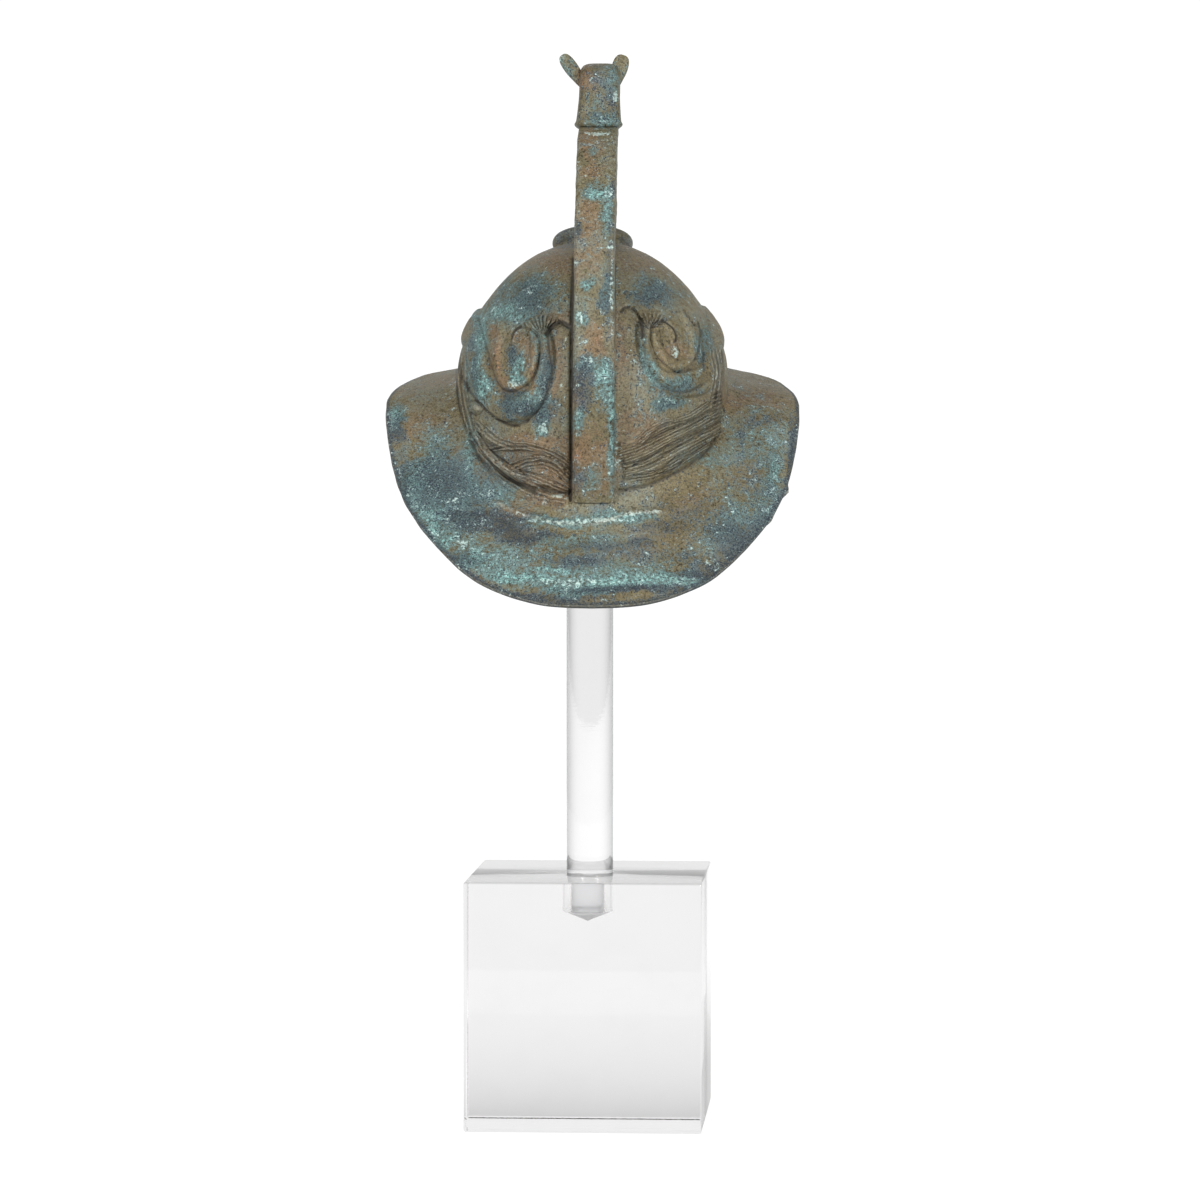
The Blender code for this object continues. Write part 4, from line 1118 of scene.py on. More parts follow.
@dataclass
class HelmetShell:
    """The bowl, its brim and the tails and locks cast on it, which are one casting."""

    half_width: float = 54.8 * MM
    half_length: float = 60 * MM
    rise: float = 54 * MM
    shoulder: float = 0.07
    bowl_wall: float = 2.5 * MM
    brim_wall: float = 2.3 * MM
    brim_half_width: float = 83.7 * MM
    back_reach: float = 99 * MM
    front_reach: float = 86 * MM
    drop: float = 71 * MM
    crest_half: float = 7.9 * MM
    fine_arc: float = math.radians(62)
    side_arc: float = math.radians(97)
    fine_columns: int = 250
    side_columns: int = 40
    coarse_columns: int = 44
    rim_steps: int = 6
    burr_reach: float = 1.6 * MM
    burr_pixels: float = 4.0
    base_line: Table = (
        (0, -0.665), (20, -0.655), (33, -0.62), (45, -0.52), (57, -0.42), (68, -0.31), (80, -0.17),
        (92, -0.10), (120, -0.06), (180, -0.05),
    )
    edge_line: Table = (
        (0, 1.0), (15, 0.99), (25, 0.955), (35, 0.895), (45, 0.79), (55, 0.685), (65, 0.565), (75, 0.40),
        (84, 0.25), (94, 0.17), (108, 0.145), (140, 0.14), (180, 0.135),
    )
    brim_profile: Table = ((0, 0), (0.06, 0.11), (0.2, 0.27), (0.42, 0.47), (0.7, 0.72), (1, 1))
    # Start, end and number of points of each stretch from the crown to the brim's edge, and back inside
    outer_spans: Table = ((0, 0.5, 18), (0.5, 1, 70), (1, 2, 72), (2, 3, 62))
    inner_spans: Table = ((3, 2, 10), (2, 1, 6), (1, 0, 12))
    # Stations over which the dark tarnish of the rim sets in, outside and inside
    rim_fade: Pair = (2.945, 2.99)
    inner_rim_fade: Pair = (2.80, 2.95)
    # Height and wavelength in millimetres and offset of the unevenness of the skin, the brim and its edge
    skin_waves: Table = ((0.16, 14, 0.0), (0.08, 4, 3.1))
    brim_waves: Table = ((0.30, 19, 6.6),)
    edge_waves: Table = ((0.30, 7, 7.7),)
    crest_middle: float = -0.8 * MM
    crest_fade: Pair = (0.4 * MM, 1.8 * MM)
    edge_fade: Pair = (2.86, 3.0)
    edge_inset: float = 0.35 * MM
    edge_bulge: float = 0.42
    # Degrees over which the strands' upper sides wear off towards the front, and how far they do
    side_fade: Pair = (55, 72)
    side_worn: float = 0.65
    # Half width, height and crispness of the strands cast on the bowl
    tail_size: Row = (6.6 * MM, 2.4 * MM, 4.5)
    coil_size: Row = (2.6 * MM, 1.7 * MM, 3.2)
    wave_size: Row = (2.5 * MM, 1.2 * MM, 2.0)
    # Degrees from the nape, height as a share of the rise, and half width as a share of the strand's
    left_tail: Table = (
        (103, 0.44, 0.3), (95, 0.40, 0.75), (86, 0.36, 1.0), (69, 0.33, 1.0), (61, 0.24, 1.0),
        (55, 0.11, 0.95), (49, 0.0, 0.9), (41, -0.07, 0.82),
        (33, -0.06, 0.75), (27, 0.0, 0.7), (22.5, 0.10, 0.62), (20.6, 0.22, 0.55), (20.7, 0.34, 0.5),
        (22.5, 0.43, 0.45), (24.5, 0.49, 0.4),
    )
    right_tail: Table = (
        (-106, 0.45, 0.3), (-99, 0.42, 0.75), (-90, 0.37, 1.0), (-74, 0.31, 1.0), (-65, 0.20, 0.95),
        (-57, 0.11, 0.9), (-48, 0.09, 0.82),
        (-38, 0.11, 0.72), (-31, 0.20, 0.62), (-26, 0.30, 0.55), (-25, 0.41, 0.5), (-26, 0.49, 0.45),
        (-28, 0.54, 0.4),
    )
    left_coil: Table = (
        (40, 0.40, 0.6), (40.6, 0.47, 0.8), (36.4, 0.515, 1.0), (30.4, 0.49, 1.0), (27.5, 0.42, 1.0),
        (27, 0.31, 1.0), (28.5, 0.20, 1.0), (32, 0.12, 1.0), (37, 0.11, 1.0), (42, 0.15, 1.0),
        (45.5, 0.24, 1.0), (48, 0.34, 1.0), (50, 0.44, 0.9), (53, 0.5, 0.6),
    )
    right_coil: Table = (
        (-42.3, 0.40, 0.6), (-42.4, 0.47, 0.8), (-38.5, 0.52, 1.0), (-33.5, 0.50, 1.0), (-31.5, 0.43, 1.0),
        (-32.5, 0.34, 1.0), (-36, 0.27, 1.0), (-41, 0.235, 1.0), (-47, 0.25, 1.0), (-52, 0.31, 1.0),
        (-55, 0.40, 1.0), (-55.5, 0.48, 0.9), (-54.5, 0.56, 0.6),
    )
    waves: tuple[Table, ...] = (
        ((55, -0.27, 0.6), (50, -0.32, 1.0), (43, -0.335, 1.0), (38, -0.32, 0.5)),
        ((48, -0.40, 0.5), (40, -0.35, 1.0), (34, -0.325, 1.0), (22, -0.33, 1.0), (13, -0.38, 0.5)),
        ((35, -0.46, 0.5), (30, -0.41, 1.0), (21, -0.40, 1.0), (12, -0.46, 0.6)),
        ((62, -0.37, 0.5), (50, -0.44, 1.0), (40, -0.52, 1.0), (28, -0.58, 1.0), (19, -0.59, 0.6)),
        ((-12, -0.29, 0.6), (-23, -0.25, 1.0), (-29, -0.18, 1.0), (-41, -0.16, 1.0), (-50, -0.14, 1.0),
         (-59, -0.08, 0.6)),
        ((-14, -0.42, 0.6), (-25, -0.36, 1.0), (-38, -0.28, 1.0), (-52, -0.23, 1.0), (-63, -0.19, 0.6)),
        ((-14, -0.53, 0.6), (-27, -0.49, 1.0), (-37, -0.41, 1.0), (-49, -0.34, 1.0), (-64, -0.30, 0.6)),
    )
    burr: Table = ((783, 488), (787, 493), (788, 498), (784, 506), (778, 514), (772, 520))

    def dome_width(self, height: np.ndarray) -> np.ndarray:
        """Give the dome's width at a height, both as shares."""
        height = np.clip(height, 0, 1)
        return np.sqrt(1 - height**2) * (1 - self.shoulder * 4 * height**2 * (1 - height**2))

    def on_bowl(self, degrees: np.ndarray, height: np.ndarray) -> np.ndarray:
        """Place points on the bowl.

        Args:
            degrees: Degrees from the nape towards +X.
            height: Heights as shares of the rise.

        Returns:
            Points in the helmet's own frame.
        """
        angle = np.radians(degrees)
        wide = self.dome_width(height)
        across = self.half_width * np.sin(angle) * wide
        along = self.half_length * np.cos(angle) * wide
        return np.stack([across, along, self.rise * height], axis=-1)

    def surface(self, angle: np.ndarray, station: np.ndarray) -> np.ndarray:
        """Place points on the plain outer skin.

        Args:
            angle: Angles from the nape towards +X.
            station: 0 to 1 is the dome, to 2 its band and to 3 the brim.

        Returns:
            Points in the helmet's own frame.
        """
        turn = (angle + math.pi) % (2 * math.pi) - math.pi
        elevation = np.clip(1 - station, 0, 1) * math.pi / 2
        out = np.clip(station - 2, 0, None)
        base = eased(np.degrees(np.abs(turn)), self.base_line)
        reach = np.where(np.cos(turn) > 0, self.back_reach, self.front_reach)
        edge = -self.drop * eased(np.degrees(np.abs(turn)), self.edge_line)
        fall = eased(out, self.brim_profile) + np.clip(out - 1, 0, None)
        wide = self.dome_width(np.sin(elevation))
        x = (self.half_width * wide + (self.brim_half_width - self.half_width) * out) * np.sin(turn)
        y = (self.half_length * wide + (reach - self.half_length) * out) * np.cos(turn)
        z = self.rise * (np.sin(elevation) + base * np.clip(station - 1, 0, 1))
        return np.stack([x, y, z + (edge - self.rise * base) * fall], axis=-1)

    def normal(self, angle: np.ndarray, station: np.ndarray) -> np.ndarray:
        """Give the outward normals of the plain outer skin.

        Args:
            angle: Angles from the nape towards +X.
            station: Stations as surface() counts them.

        Returns:
            A normal for each point.
        """
        step = 1e-3
        at_crown = np.asarray(station) < step
        station = np.clip(station, 0.02, 2.98)
        along = self.surface(angle + step, station) - self.surface(angle - step, station)
        down = self.surface(angle, station + step) - self.surface(angle, station - step)
        made = np.cross(along, down)
        made = made / np.linalg.norm(made, axis=-1, keepdims=True)
        return np.where(at_crown[..., None], np.array([0.0, 0.0, 1.0]), made)

    def level_out(self, points: np.ndarray) -> np.ndarray:
        """Give the level directions that point away from the bowl's axis."""
        level = points * np.array([1.0, 1.0, 0.0])
        return level / np.maximum(np.linalg.norm(level, axis=-1, keepdims=True), WELD)

    def relief(self, points: np.ndarray) -> np.ndarray:
        """Give how far the tails, coils and locks stand out of the bowl.

        Args:
            points: Points of the plain bowl in the helmet's own frame, one a line.

        Returns:
            A height for each point.
        """
        raised = np.zeros(len(points))
        cast = [
            (self.left_tail, self.tail_size), (self.right_tail, self.tail_size),
            (self.left_coil, self.coil_size), (self.right_coil, self.coil_size),
            *((wave, self.wave_size) for wave in self.waves),
        ]
        for rows, (half_width, lift, crispness) in cast:
            path = smooth_path(rows)
            line = self.on_bowl(path[:, 0], path[:, 1])
            low, high = line.min(axis=0) - half_width, line.max(axis=0) + half_width
            near = np.flatnonzero(np.all((points > low) & (points < high), axis=1))
            gap = np.linalg.norm(points[near, None, :] - line[None, :, :], axis=2) / (path[:, 2] * half_width)
            height = lift * np.clip(1 - gap.min(axis=1) ** crispness, 0, 1)
            closest = gap.argmin(axis=1)
            above = (points[near, 2] - line[closest, 2]) / half_width
            at_side = smooth_step(np.abs(path[closest, 0]), *self.side_fade)
            height = height * (1 - self.side_worn * at_side * smooth_step(above, -0.6, 0.8))
            raised[near] = np.maximum(raised[near], height)
        return raised

    def build(self) -> bpy.types.Object:
        """Make the shell's object.

        Returns:
            The shell at its place on the rod.
        """
        side = np.linspace(self.fine_arc, self.side_arc, self.side_columns + 1)[1:]
        coarse = np.linspace(self.side_arc, 2 * math.pi - self.side_arc, self.coarse_columns + 1)[1:-1]
        fine = np.linspace(-self.fine_arc, self.fine_arc, self.fine_columns + 1)
        angles = np.concatenate([fine, side, coarse, 2 * math.pi - side[::-1], [2 * math.pi - self.fine_arc]])
        stations = joined_spans(self.outer_spans)
        angle, station = np.meshgrid(angles, stations)
        plain = self.surface(angle, station)
        normal = self.normal(angle, station)
        flat = plain.reshape(-1, 3)
        world = POSE.world(flat)
        facing = CAMERA.facing(world, POSE.world(normal.reshape(-1, 3)) - POSE.world(np.zeros((1, 3))))
        shown = smooth_step(facing, 0.02, 0.15)
        from_crest = np.abs(flat[:, 0] - self.crest_middle) - self.crest_half
        beside_crest = smooth_step(from_crest, *self.crest_fade)
        on_bowl = (station.reshape(-1) <= 2).astype(float)
        lift = np.zeros(len(flat))
        bowl = np.flatnonzero(on_bowl)
        lift[bowl] = self.relief(flat[bowl])
        shown = shown * ((on_bowl > 0) | (flat[:, 1] > 0))
        lift += chased_height(CAMERA.pixels(world)) * MM * shown
        lift = lift * np.where(flat[:, 1] > 0, beside_crest, 1.0)
        worn = rough(flat, self.skin_waves) + rough(flat, self.brim_waves) * (1 - on_bowl)
        outside = plain + normal * (lift + worn * beside_crest).reshape(station.shape)[..., None]
        outside[0] = outside[0].mean(axis=0)

        edge_share = smooth_step(station, *self.edge_fade)
        ragged = rough(flat, self.edge_waves).reshape(station.shape)
        burr_line = smooth_path(self.burr, 8)
        pixels = CAMERA.pixels(world)
        burr_gap = np.linalg.norm(pixels[:, None, :] - burr_line[None, :, :], axis=2).min(axis=1)
        ragged += self.burr_reach * np.exp(-((burr_gap / self.burr_pixels) ** 2)).reshape(station.shape)
        outward = self.level_out(plain)
        outside = outside + outward * ((ragged - self.edge_inset) * edge_share)[..., None]

        inner_stations = joined_spans(self.inner_spans)
        inner_angle, inner_station = np.meshgrid(angles, inner_stations)
        wall = np.where(inner_station > 2, self.brim_wall, self.bowl_wall)[..., None]
        inside = self.surface(inner_angle, inner_station) - self.normal(inner_angle, inner_station) * wall
        inner_share = smooth_step(inner_station, *self.edge_fade)[..., None]
        inside = inside + self.level_out(inside) * (ragged[-1][None, :, None] - self.edge_inset) * inner_share
        inside[-1] = inside[-1].mean(axis=0)
        turns = np.linspace(0, math.pi, self.rim_steps + 1)[1:-1]
        middle, half = (outside[-1] + inside[0]) / 2, (outside[-1] - inside[0]) / 2
        bulge = outward[-1] * self.brim_wall * self.edge_bulge
        rim = np.stack([middle + half * math.cos(turn) + bulge * math.sin(turn) for turn in turns])
        rows = np.concatenate([outside, rim, inside])
        rows[:, -1] = rows[:, 0]
        near_rim = np.concatenate([
            smooth_step(stations, *self.rim_fade), np.ones(len(turns)),
            smooth_step(inner_stations, *self.inner_rim_fade),
        ])
        made = new_object("bronze_shell", wrapped_grid(POSE.world(rows), near_rim), sharp=75)
        paint(made, chased=True)
        return made


@dataclass
class Crest:
    """The thick fin that rises from the nape over the crown and carries the griffin's head."""

    thickness: float = 15.8 * MM
    height: float = 101 * MM
    edge: float = 0.8 * MM
    length: float = 60 * MM
    seat_gap: float = 0.3 * MM
    middle: float = -1.2 * MM
    # How far from the middle the sides' dents set in, and how far behind the rod's axis the back's do
    side_fade: Pair = (5 * MM, 7 * MM)
    back_fade: float = 10 * MM
    # Height and wavelength in millimetres and offset of the sway, and of the sides' and the back's dents
    sway_waves: Table = ((0.45, 24, 1.7),)
    side_waves: Table = ((0.30, 6, 5.3), (0.16, 2.5, 9.1))
    back_waves: Table = ((0.25, 9, 2.9),)
    rows_each: int = 22
    side_count: int = 30
    back_count: int = 28
    # Back edge and inner edge, each as shares of the length and the height, then the shift to -X
    sections: Table = (
        (1.05, -0.38, 0.85, -0.34, 0.04), (1.11, -0.20, 0.84, -0.14, 0.05), (1.14, 0.0, 0.80, 0.04, 0.05),
        (1.12, 0.20, 0.68, 0.18, 0.05), (1.04, 0.40, 0.48, 0.28, 0.05), (0.90, 0.57, 0.20, 0.36, 0.05),
        (0.70, 0.72, -0.12, 0.40, 0.06), (0.46, 0.86, -0.29, 0.52, 0.08), (0.24, 0.945, -0.245, 0.68, 0.11),
        (0.10, 0.98, -0.27, 0.80, 0.13), (-0.033, 1.0, -0.40, 0.955, 0.15),
    )

    def edge_points(self, row: np.ndarray) -> tuple[Vector, Vector]:
        """Find the ends of a section.

        Args:
            row: A row of the sections.

        Returns:
            Its back and its inner end in the helmet's own frame.
        """
        back_y, back_z, front_y, front_z, shift = row
        sideways = -shift * self.thickness
        back = Vector((sideways, back_y * self.length, back_z * self.height))
        return back, Vector((sideways, front_y * self.length, front_z * self.height))

    def top_frame(self) -> Matrix:
        """Give the frame of the top face in the helmet's own frame, whose -Y faces forward."""
        back, front = self.edge_points(np.array(self.sections[-1]))
        slope = math.atan2(back.z - front.z, back.y - front.y)
        return Matrix.Translation((back + front) / 2) @ Matrix.Rotation(slope, 4, "X")

    def outline(self) -> list[Pair]:
        """List a section's outline.

        Returns:
            For each point, its share across the thickness, and its share from the back to the inner edge.
        """
        back = [(across, 0.0) for across in np.linspace(-1, 1, self.back_count + 1)]
        side = [(1.0, along) for along in np.linspace(0, 1, self.side_count + 1)[1:-1]]
        front = [(across, 1.0) for across in np.linspace(1, -1, self.back_count + 1)]
        other = [(-1.0, along) for along in np.linspace(1, 0, self.side_count + 1)[1:-1]]
        return back + side + front + other

    def build(self, shell: bpy.types.Object) -> bpy.types.Object:
        """Make the crest's object, seated on the shell.

        Args:
            shell: The finished shell.

        Returns:
            The crest.
        """
        tree = skin_tree(shell)
        matrix = POSE.matrix()
        half = self.thickness / 2
        rings = []
        for row in smooth_path(self.sections, self.rows_each):
            back, front = self.edge_points(row)
            inward = (front - back).normalized()
            reach = (front - back).length
            ring = []
            for across, along in self.outline():
                start = matrix @ (back + Vector((across * half, 0, 0)))
                ray = (matrix.to_3x3() @ inward).normalized()
                hit = tree.ray_cast(start, ray, reach)[3]
                depth = reach if hit is None else max(hit - self.seat_gap, 2 * self.edge)
                rounding = self.edge * (1 - math.sqrt(max(0.0, 1 - across**8)))
                inset = min(max(along * depth, rounding), depth - min(rounding, depth / 2))
                squeeze = 1 - 0.10 * max(0.0, 1 - inset / (2 * self.edge)) ** 2
                point = back + Vector((across * half * squeeze, 0, 0)) + inward * inset
                ring.append(point)
            rings.append(ring + ring[:1])
        points = np.array(rings)
        flat = points.reshape(-1, 3)
        sway = rough(flat * np.array([0, 1, 1]), self.sway_waves)
        off_middle = flat[:, 0] - self.middle
        side = np.sign(off_middle) * smooth_step(np.abs(off_middle), *self.side_fade)
        flat[:, 0] += sway + side * rough(flat, self.side_waves)
        back_share = smooth_step(flat[:, 1], 0.0, self.back_fade)
        flat[:, 1] += rough(flat, self.back_waves) * back_share
        points = flat.reshape(points.shape)
        points[:, -1] = points[:, 0]
        made = new_object("bronze_crest", closed_rings(points), sharp=60)
        paint(made)
        return made


@dataclass
class GriffinHead:
    """The griffin's neck, skull, beak and two ears on top of the crest."""

    half_width: float = 8.3 * MM
    height: float = 27 * MM
    length: float = 40 * MM
    lean: float = math.radians(2)
    ear_length: float = 15 * MM
    ear_half_width: float = 2.9 * MM
    ear_sides: int = 28
    # Where an ear starts, as shares of the head's half width and height
    ear_out: float = 0.82
    ear_up: float = 0.68
    squareness: float = 0.46
    seat_gap: float = 0.3 * MM
    sides: int = 72
    # Forward, up, lean in degrees, half width and half depth
    stations: Table = (
        (0.0, 0.0, 0, 1.02, 0.43), (0.0, 0.025, 0, 1.12, 0.455), (0.0, 0.05, 0, 1.17, 0.47),
        (0.0, 0.085, 0, 1.11, 0.45), (0.0, 0.17, 0, 1.07, 0.43), (0.0, 0.42, 8, 1.0, 0.40),
        (0.02, 0.59, 35, 0.99, 0.40), (0.12, 0.67, 65, 0.98, 0.32), (0.30, 0.69, 88, 0.90, 0.262),
        (0.48, 0.66, 100, 0.70, 0.22), (0.64, 0.58, 116, 0.48, 0.165), (0.77, 0.45, 140, 0.27, 0.105),
        (0.81, 0.31, 160, 0.10, 0.05),
    )
    ear_stations: Table = (
        (-0.15, 0.6, 0.5), (0.12, 0.8, 0.6), (0.45, 1.0, 0.5), (0.75, 0.96, 0.38), (0.92, 0.72, 0.28),
        (0.99, 0.38, 0.16), (1.0, 0.15, 0.1),
    )
    # Side, lean in degrees, and shares of the ear's length and width
    ears: Table = ((1, 36, 0.90, 0.98), (-1, 17, 0.76, 1.14))

    def oval(self, wide: float, deep: float, sides: int, squareness: float, place: Matrix) -> list[Vector]:
        """Place an oval's points, the first one again at the end.

        Args:
            wide: Half its width along the place's X.
            deep: Half its depth along the place's Y.
            sides: How many points it has.
            squareness: The power of its sine and cosine; under 1 is squarer than an ellipse.
            place: Where it lies.

        Returns:
            The points.
        """
        points = []
        for index in range(sides + 1):
            turn = 2 * math.pi * (index % sides + 0.5) / sides
            across = math.copysign(abs(math.cos(turn)) ** squareness, math.cos(turn))
            along = math.copysign(abs(math.sin(turn)) ** squareness, math.sin(turn))
            points.append(place @ Vector((wide * across, deep * along, 0)))
        return points

    def build(self, crest: Crest) -> bpy.types.Object:
        """Make the head's object on top of the crest.

        Args:
            crest: The crest's sizes.

        Returns:
            The head.
        """
        place = crest.top_frame() @ Matrix.Translation((0, 0, self.seat_gap))
        rings = []
        for forward, up, lean, wide, deep in smooth_path(self.stations, 7):
            sideways = -up * self.height * math.tan(self.lean)
            spot = (
                place
                @ Matrix.Translation((sideways, -forward * self.length, up * self.height))
                @ Matrix.Rotation(math.radians(lean), 4, "X")
            )
            size = (wide * self.half_width, deep * self.height)
            rings.append(self.oval(*size, self.sides, self.squareness, spot))
        made = new_object("bronze_griffin_head", closed_rings(rings))
        for side, lean, length, breadth in self.ears:
            start = (side * self.half_width * self.ear_out, 0, self.height * self.ear_up)
            root = place @ Matrix.Translation(start)
            root = root @ Matrix.Rotation(math.radians(side * lean), 4, "Y")
            ear_rings = []
            for along, wide, deep in smooth_path(self.ear_stations, 5):
                spot = root @ Matrix.Translation((0, 0, along * length * self.ear_length))
                size = self.ear_half_width
                ear_rings.append(self.oval(wide * breadth * size, deep * size, self.ear_sides, 1.0, spot))
            boolean(made, new_object("ear", closed_rings(ear_rings)), "UNION")
        paint(made)
        return made


@dataclass
class Medallion:
    """The round boss that faces forward and up over the brow."""

    radius: float = 16.5 * MM
    proud: float = 5 * MM
    depth: float = 6 * MM
    rim: float = 1.2 * MM
    roll: float = 2.6 * MM
    elevation: float = math.radians(60)
    seat_gap: float = 0.3 * MM
    sides: int = 96
    petals: int = 8

    def place(self, shell: HelmetShell) -> Matrix:
        """Find where the boss lies.

        Args:
            shell: The shell's sizes.

        Returns:
            Its frame in the world, whose Z faces away from the bowl.
        """
        station = 1 - self.elevation / (math.pi / 2)
        spot = Vector(shell.surface(np.array(math.pi), np.array(station)))
        normal = Vector(shell.normal(np.array(math.pi), np.array(station)))
        turn = Vector((0, 0, 1)).rotation_difference(normal).to_matrix().to_4x4()
        return POSE.matrix() @ Matrix.Translation(spot) @ turn

    def build(self, sizes: HelmetShell, shell: bpy.types.Object) -> bpy.types.Object:
        """Make the boss's object, seated on the shell.

        Args:
            sizes: The shell's sizes.
            shell: The finished shell.

        Returns:
            The boss.
        """
        radius, rim, top, roll = self.radius, self.rim, self.proud, self.roll
        rolled = [
            (radius - roll + roll * math.sin(turn), top - roll + roll * math.cos(turn))
            for turn in np.linspace(0, math.pi * 0.85, 9)
        ]
        profile = (
            (0, top), (radius * 0.10, top - 0.05 * rim), (radius * 0.18, top - 0.4 * rim),
            (radius * 0.24, top - rim), (radius * 0.40, top - rim), (radius * 0.58, top - rim),
            (radius * 0.72, top - rim), (radius * 0.76, top - 0.4 * rim), *rolled,
            (radius * 0.93, -0.2 * self.depth), (radius * 0.93, -self.depth), (radius * 0.5, -self.depth),
            (0, -self.depth),
        )
        body = spun(profile, self.sides)
        tree = skin_tree(shell)
        place = self.place(sizes)
        down = (place.to_3x3() @ Vector((0, 0, -1))).normalized()
        for vert in body.verts:
            across = math.hypot(vert.co.x, vert.co.y)
            turn = math.atan2(vert.co.y, vert.co.x)
            if vert.co.z > top - 1.1 * rim and radius * 0.3 < across < radius * 0.7:
                vert.co.z += 0.6 * rim * abs(math.cos(turn * self.petals / 2))
            low = vert.co.z < 0
            vert.co = place @ vert.co
            if low:
                above = vert.co - down * (self.depth + top)
                hit, _, _, distance = tree.ray_cast(above, down)
                if hit is not None and distance < 2 * (self.depth + top):
                    vert.co = hit - down * self.seat_gap
        made = new_object("bronze_medallion", body)
        paint(made)
        return made


@dataclass
class Visor:
    """The two leaves of the visor under the front of the brim."""

    wall: float = 2 * MM
    drop: float = 74 * MM
    flange: float = 13 * MM
    parting: float = math.radians(0.6)
    rear: float = math.radians(94)
    eye_angle: float = math.radians(152)
    eye_drop: float = 0.36
    eye_radius: float = 13 * MM
    eye_ring: float = 1.9 * MM
    hole_radius: float = 2.5 * MM
    hole_pitch: float = 7.4 * MM
    seat_gap: float = 0.3 * MM
    columns: int = 90
    rows: int = 70
    # How far from the top, as a share of the drop, and from the parting the skin is even
    top_border: float = 0.05
    front_border: float = 0.06
    # Height and wavelength in millimetres and offset of the skin's unevenness
    skin_waves: Table = ((0.12, 11, 4.4),)
    ring_steps: int = 15
    ring_sides: int = 64
    hole_sides: int = 28
    # Where the leaf's top lies on the brim, as a station of the shell
    top_station: float = 2.14
    # The leaf's drop at its rear end, as a share of its drop in front
    rear_drop: float = 0.66
    full_drop: float = math.radians(160)
    profile: Table = (
        (0, 1.0), (0.2, 1.02), (0.4, 1.03), (0.62, 0.97), (0.82, 0.87), (0.9, 0.84), (1.0, 0.84),
    )
    flange_profile: Table = ((0, 0), (0.78, 0), (0.86, 0.08), (0.93, 0.45), (1.0, 1.0))

    def point(
        self, shell: HelmetShell, side: int, angle: np.ndarray, drop: np.ndarray, depth: np.ndarray
    ) -> np.ndarray:
        """Place points of a leaf in the helmet's own frame.

        Args:
            shell: The shell's sizes.
            side: 1 for the leaf towards +X, -1 for the other.
            angle: Angles from the nape.
            drop: Shares of the way down.
            depth: How far in from the leaf's outer face.

        Returns:
            The points.
        """
        station = np.full_like(angle, self.top_station)
        top = shell.surface(angle, station) - shell.normal(angle, station) * (shell.brim_wall + self.seat_gap)
        scale = eased(drop, self.profile)
        toward_front = smooth_step(angle, self.rear, self.full_drop)
        reach = self.drop * (self.rear_drop + (1 - self.rear_drop) * toward_front)
        flange = self.flange * eased(drop, self.flange_profile)
        out = top[..., :2]
        length = np.linalg.norm(out, axis=-1, keepdims=True)
        plan = out * scale[..., None] + out / length * (flange - depth)[..., None]
        made = np.concatenate([plan, (top[..., 2] - drop * reach)[..., None]], axis=-1)
        return made * np.array([side, 1, 1])

    def eye_frame(self, shell: HelmetShell, side: int) -> Matrix:
        """Find where an eye guard lies.

        Args:
            shell: The shell's sizes.
            side: 1 for the leaf towards +X, -1 for the other.

        Returns:
            The frame of its middle in the helmet's own frame, whose Z faces out.
        """
        step = 0.02
        centre, ahead, below = (
            Vector(self.point(shell, side, np.array(angle), np.array(drop), np.array(self.wall / 2)))
            for angle, drop in (
                (self.eye_angle, self.eye_drop), (self.eye_angle + step, self.eye_drop),
                (self.eye_angle, self.eye_drop + step),
            )
        )
        across = (ahead - centre).normalized()
        outward = across.cross(below - centre).normalized()
        if outward.y > 0:
            outward = -outward
        upward = outward.cross(across).normalized()
        made = Matrix((across, upward, outward)).transposed().to_4x4()
        made.translation = centre
        return made

    def ring(self, frame_at: Matrix) -> bpy.types.Object:
        """Make the raised ring round an eye guard.

        Args:
            frame_at: Where the eye guard lies.

        Returns:
            The ring.
        """
        turns = np.linspace(0, 2 * math.pi, self.ring_steps)
        round_wire = [
            (self.eye_radius + self.eye_ring * math.cos(turn), self.eye_ring * math.sin(turn))
            for turn in turns
        ]
        body = spun(round_wire, self.ring_sides)
        body.transform(POSE.matrix() @ frame_at @ Matrix.Translation((0, 0, self.wall / 2)))
        return new_object("eye_ring", body)

    def holes(self, frame_at: Matrix) -> bpy.types.Object:
        """Make the pins that pierce an eye guard.

        Args:
            frame_at: Where the eye guard lies.

        Returns:
            The pins.
        """
        body = bmesh.new()
        for column in range(-2, 3):
            for row in range(-2, 3):
                x = (column + 0.5 * (row % 2)) * self.hole_pitch
                y = row * self.hole_pitch * math.sqrt(3) / 2
                if math.hypot(x, y) + self.hole_radius < self.eye_radius - self.eye_ring * 0.5:
                    bmesh.ops.create_cone(
                        body, cap_ends=True, segments=self.hole_sides, radius1=self.hole_radius,
                        radius2=self.hole_radius, depth=self.wall * 6, matrix=Matrix.Translation((x, y, 0)),
                    )
        body.transform(POSE.matrix() @ frame_at)
        return new_object("eye_holes", body)

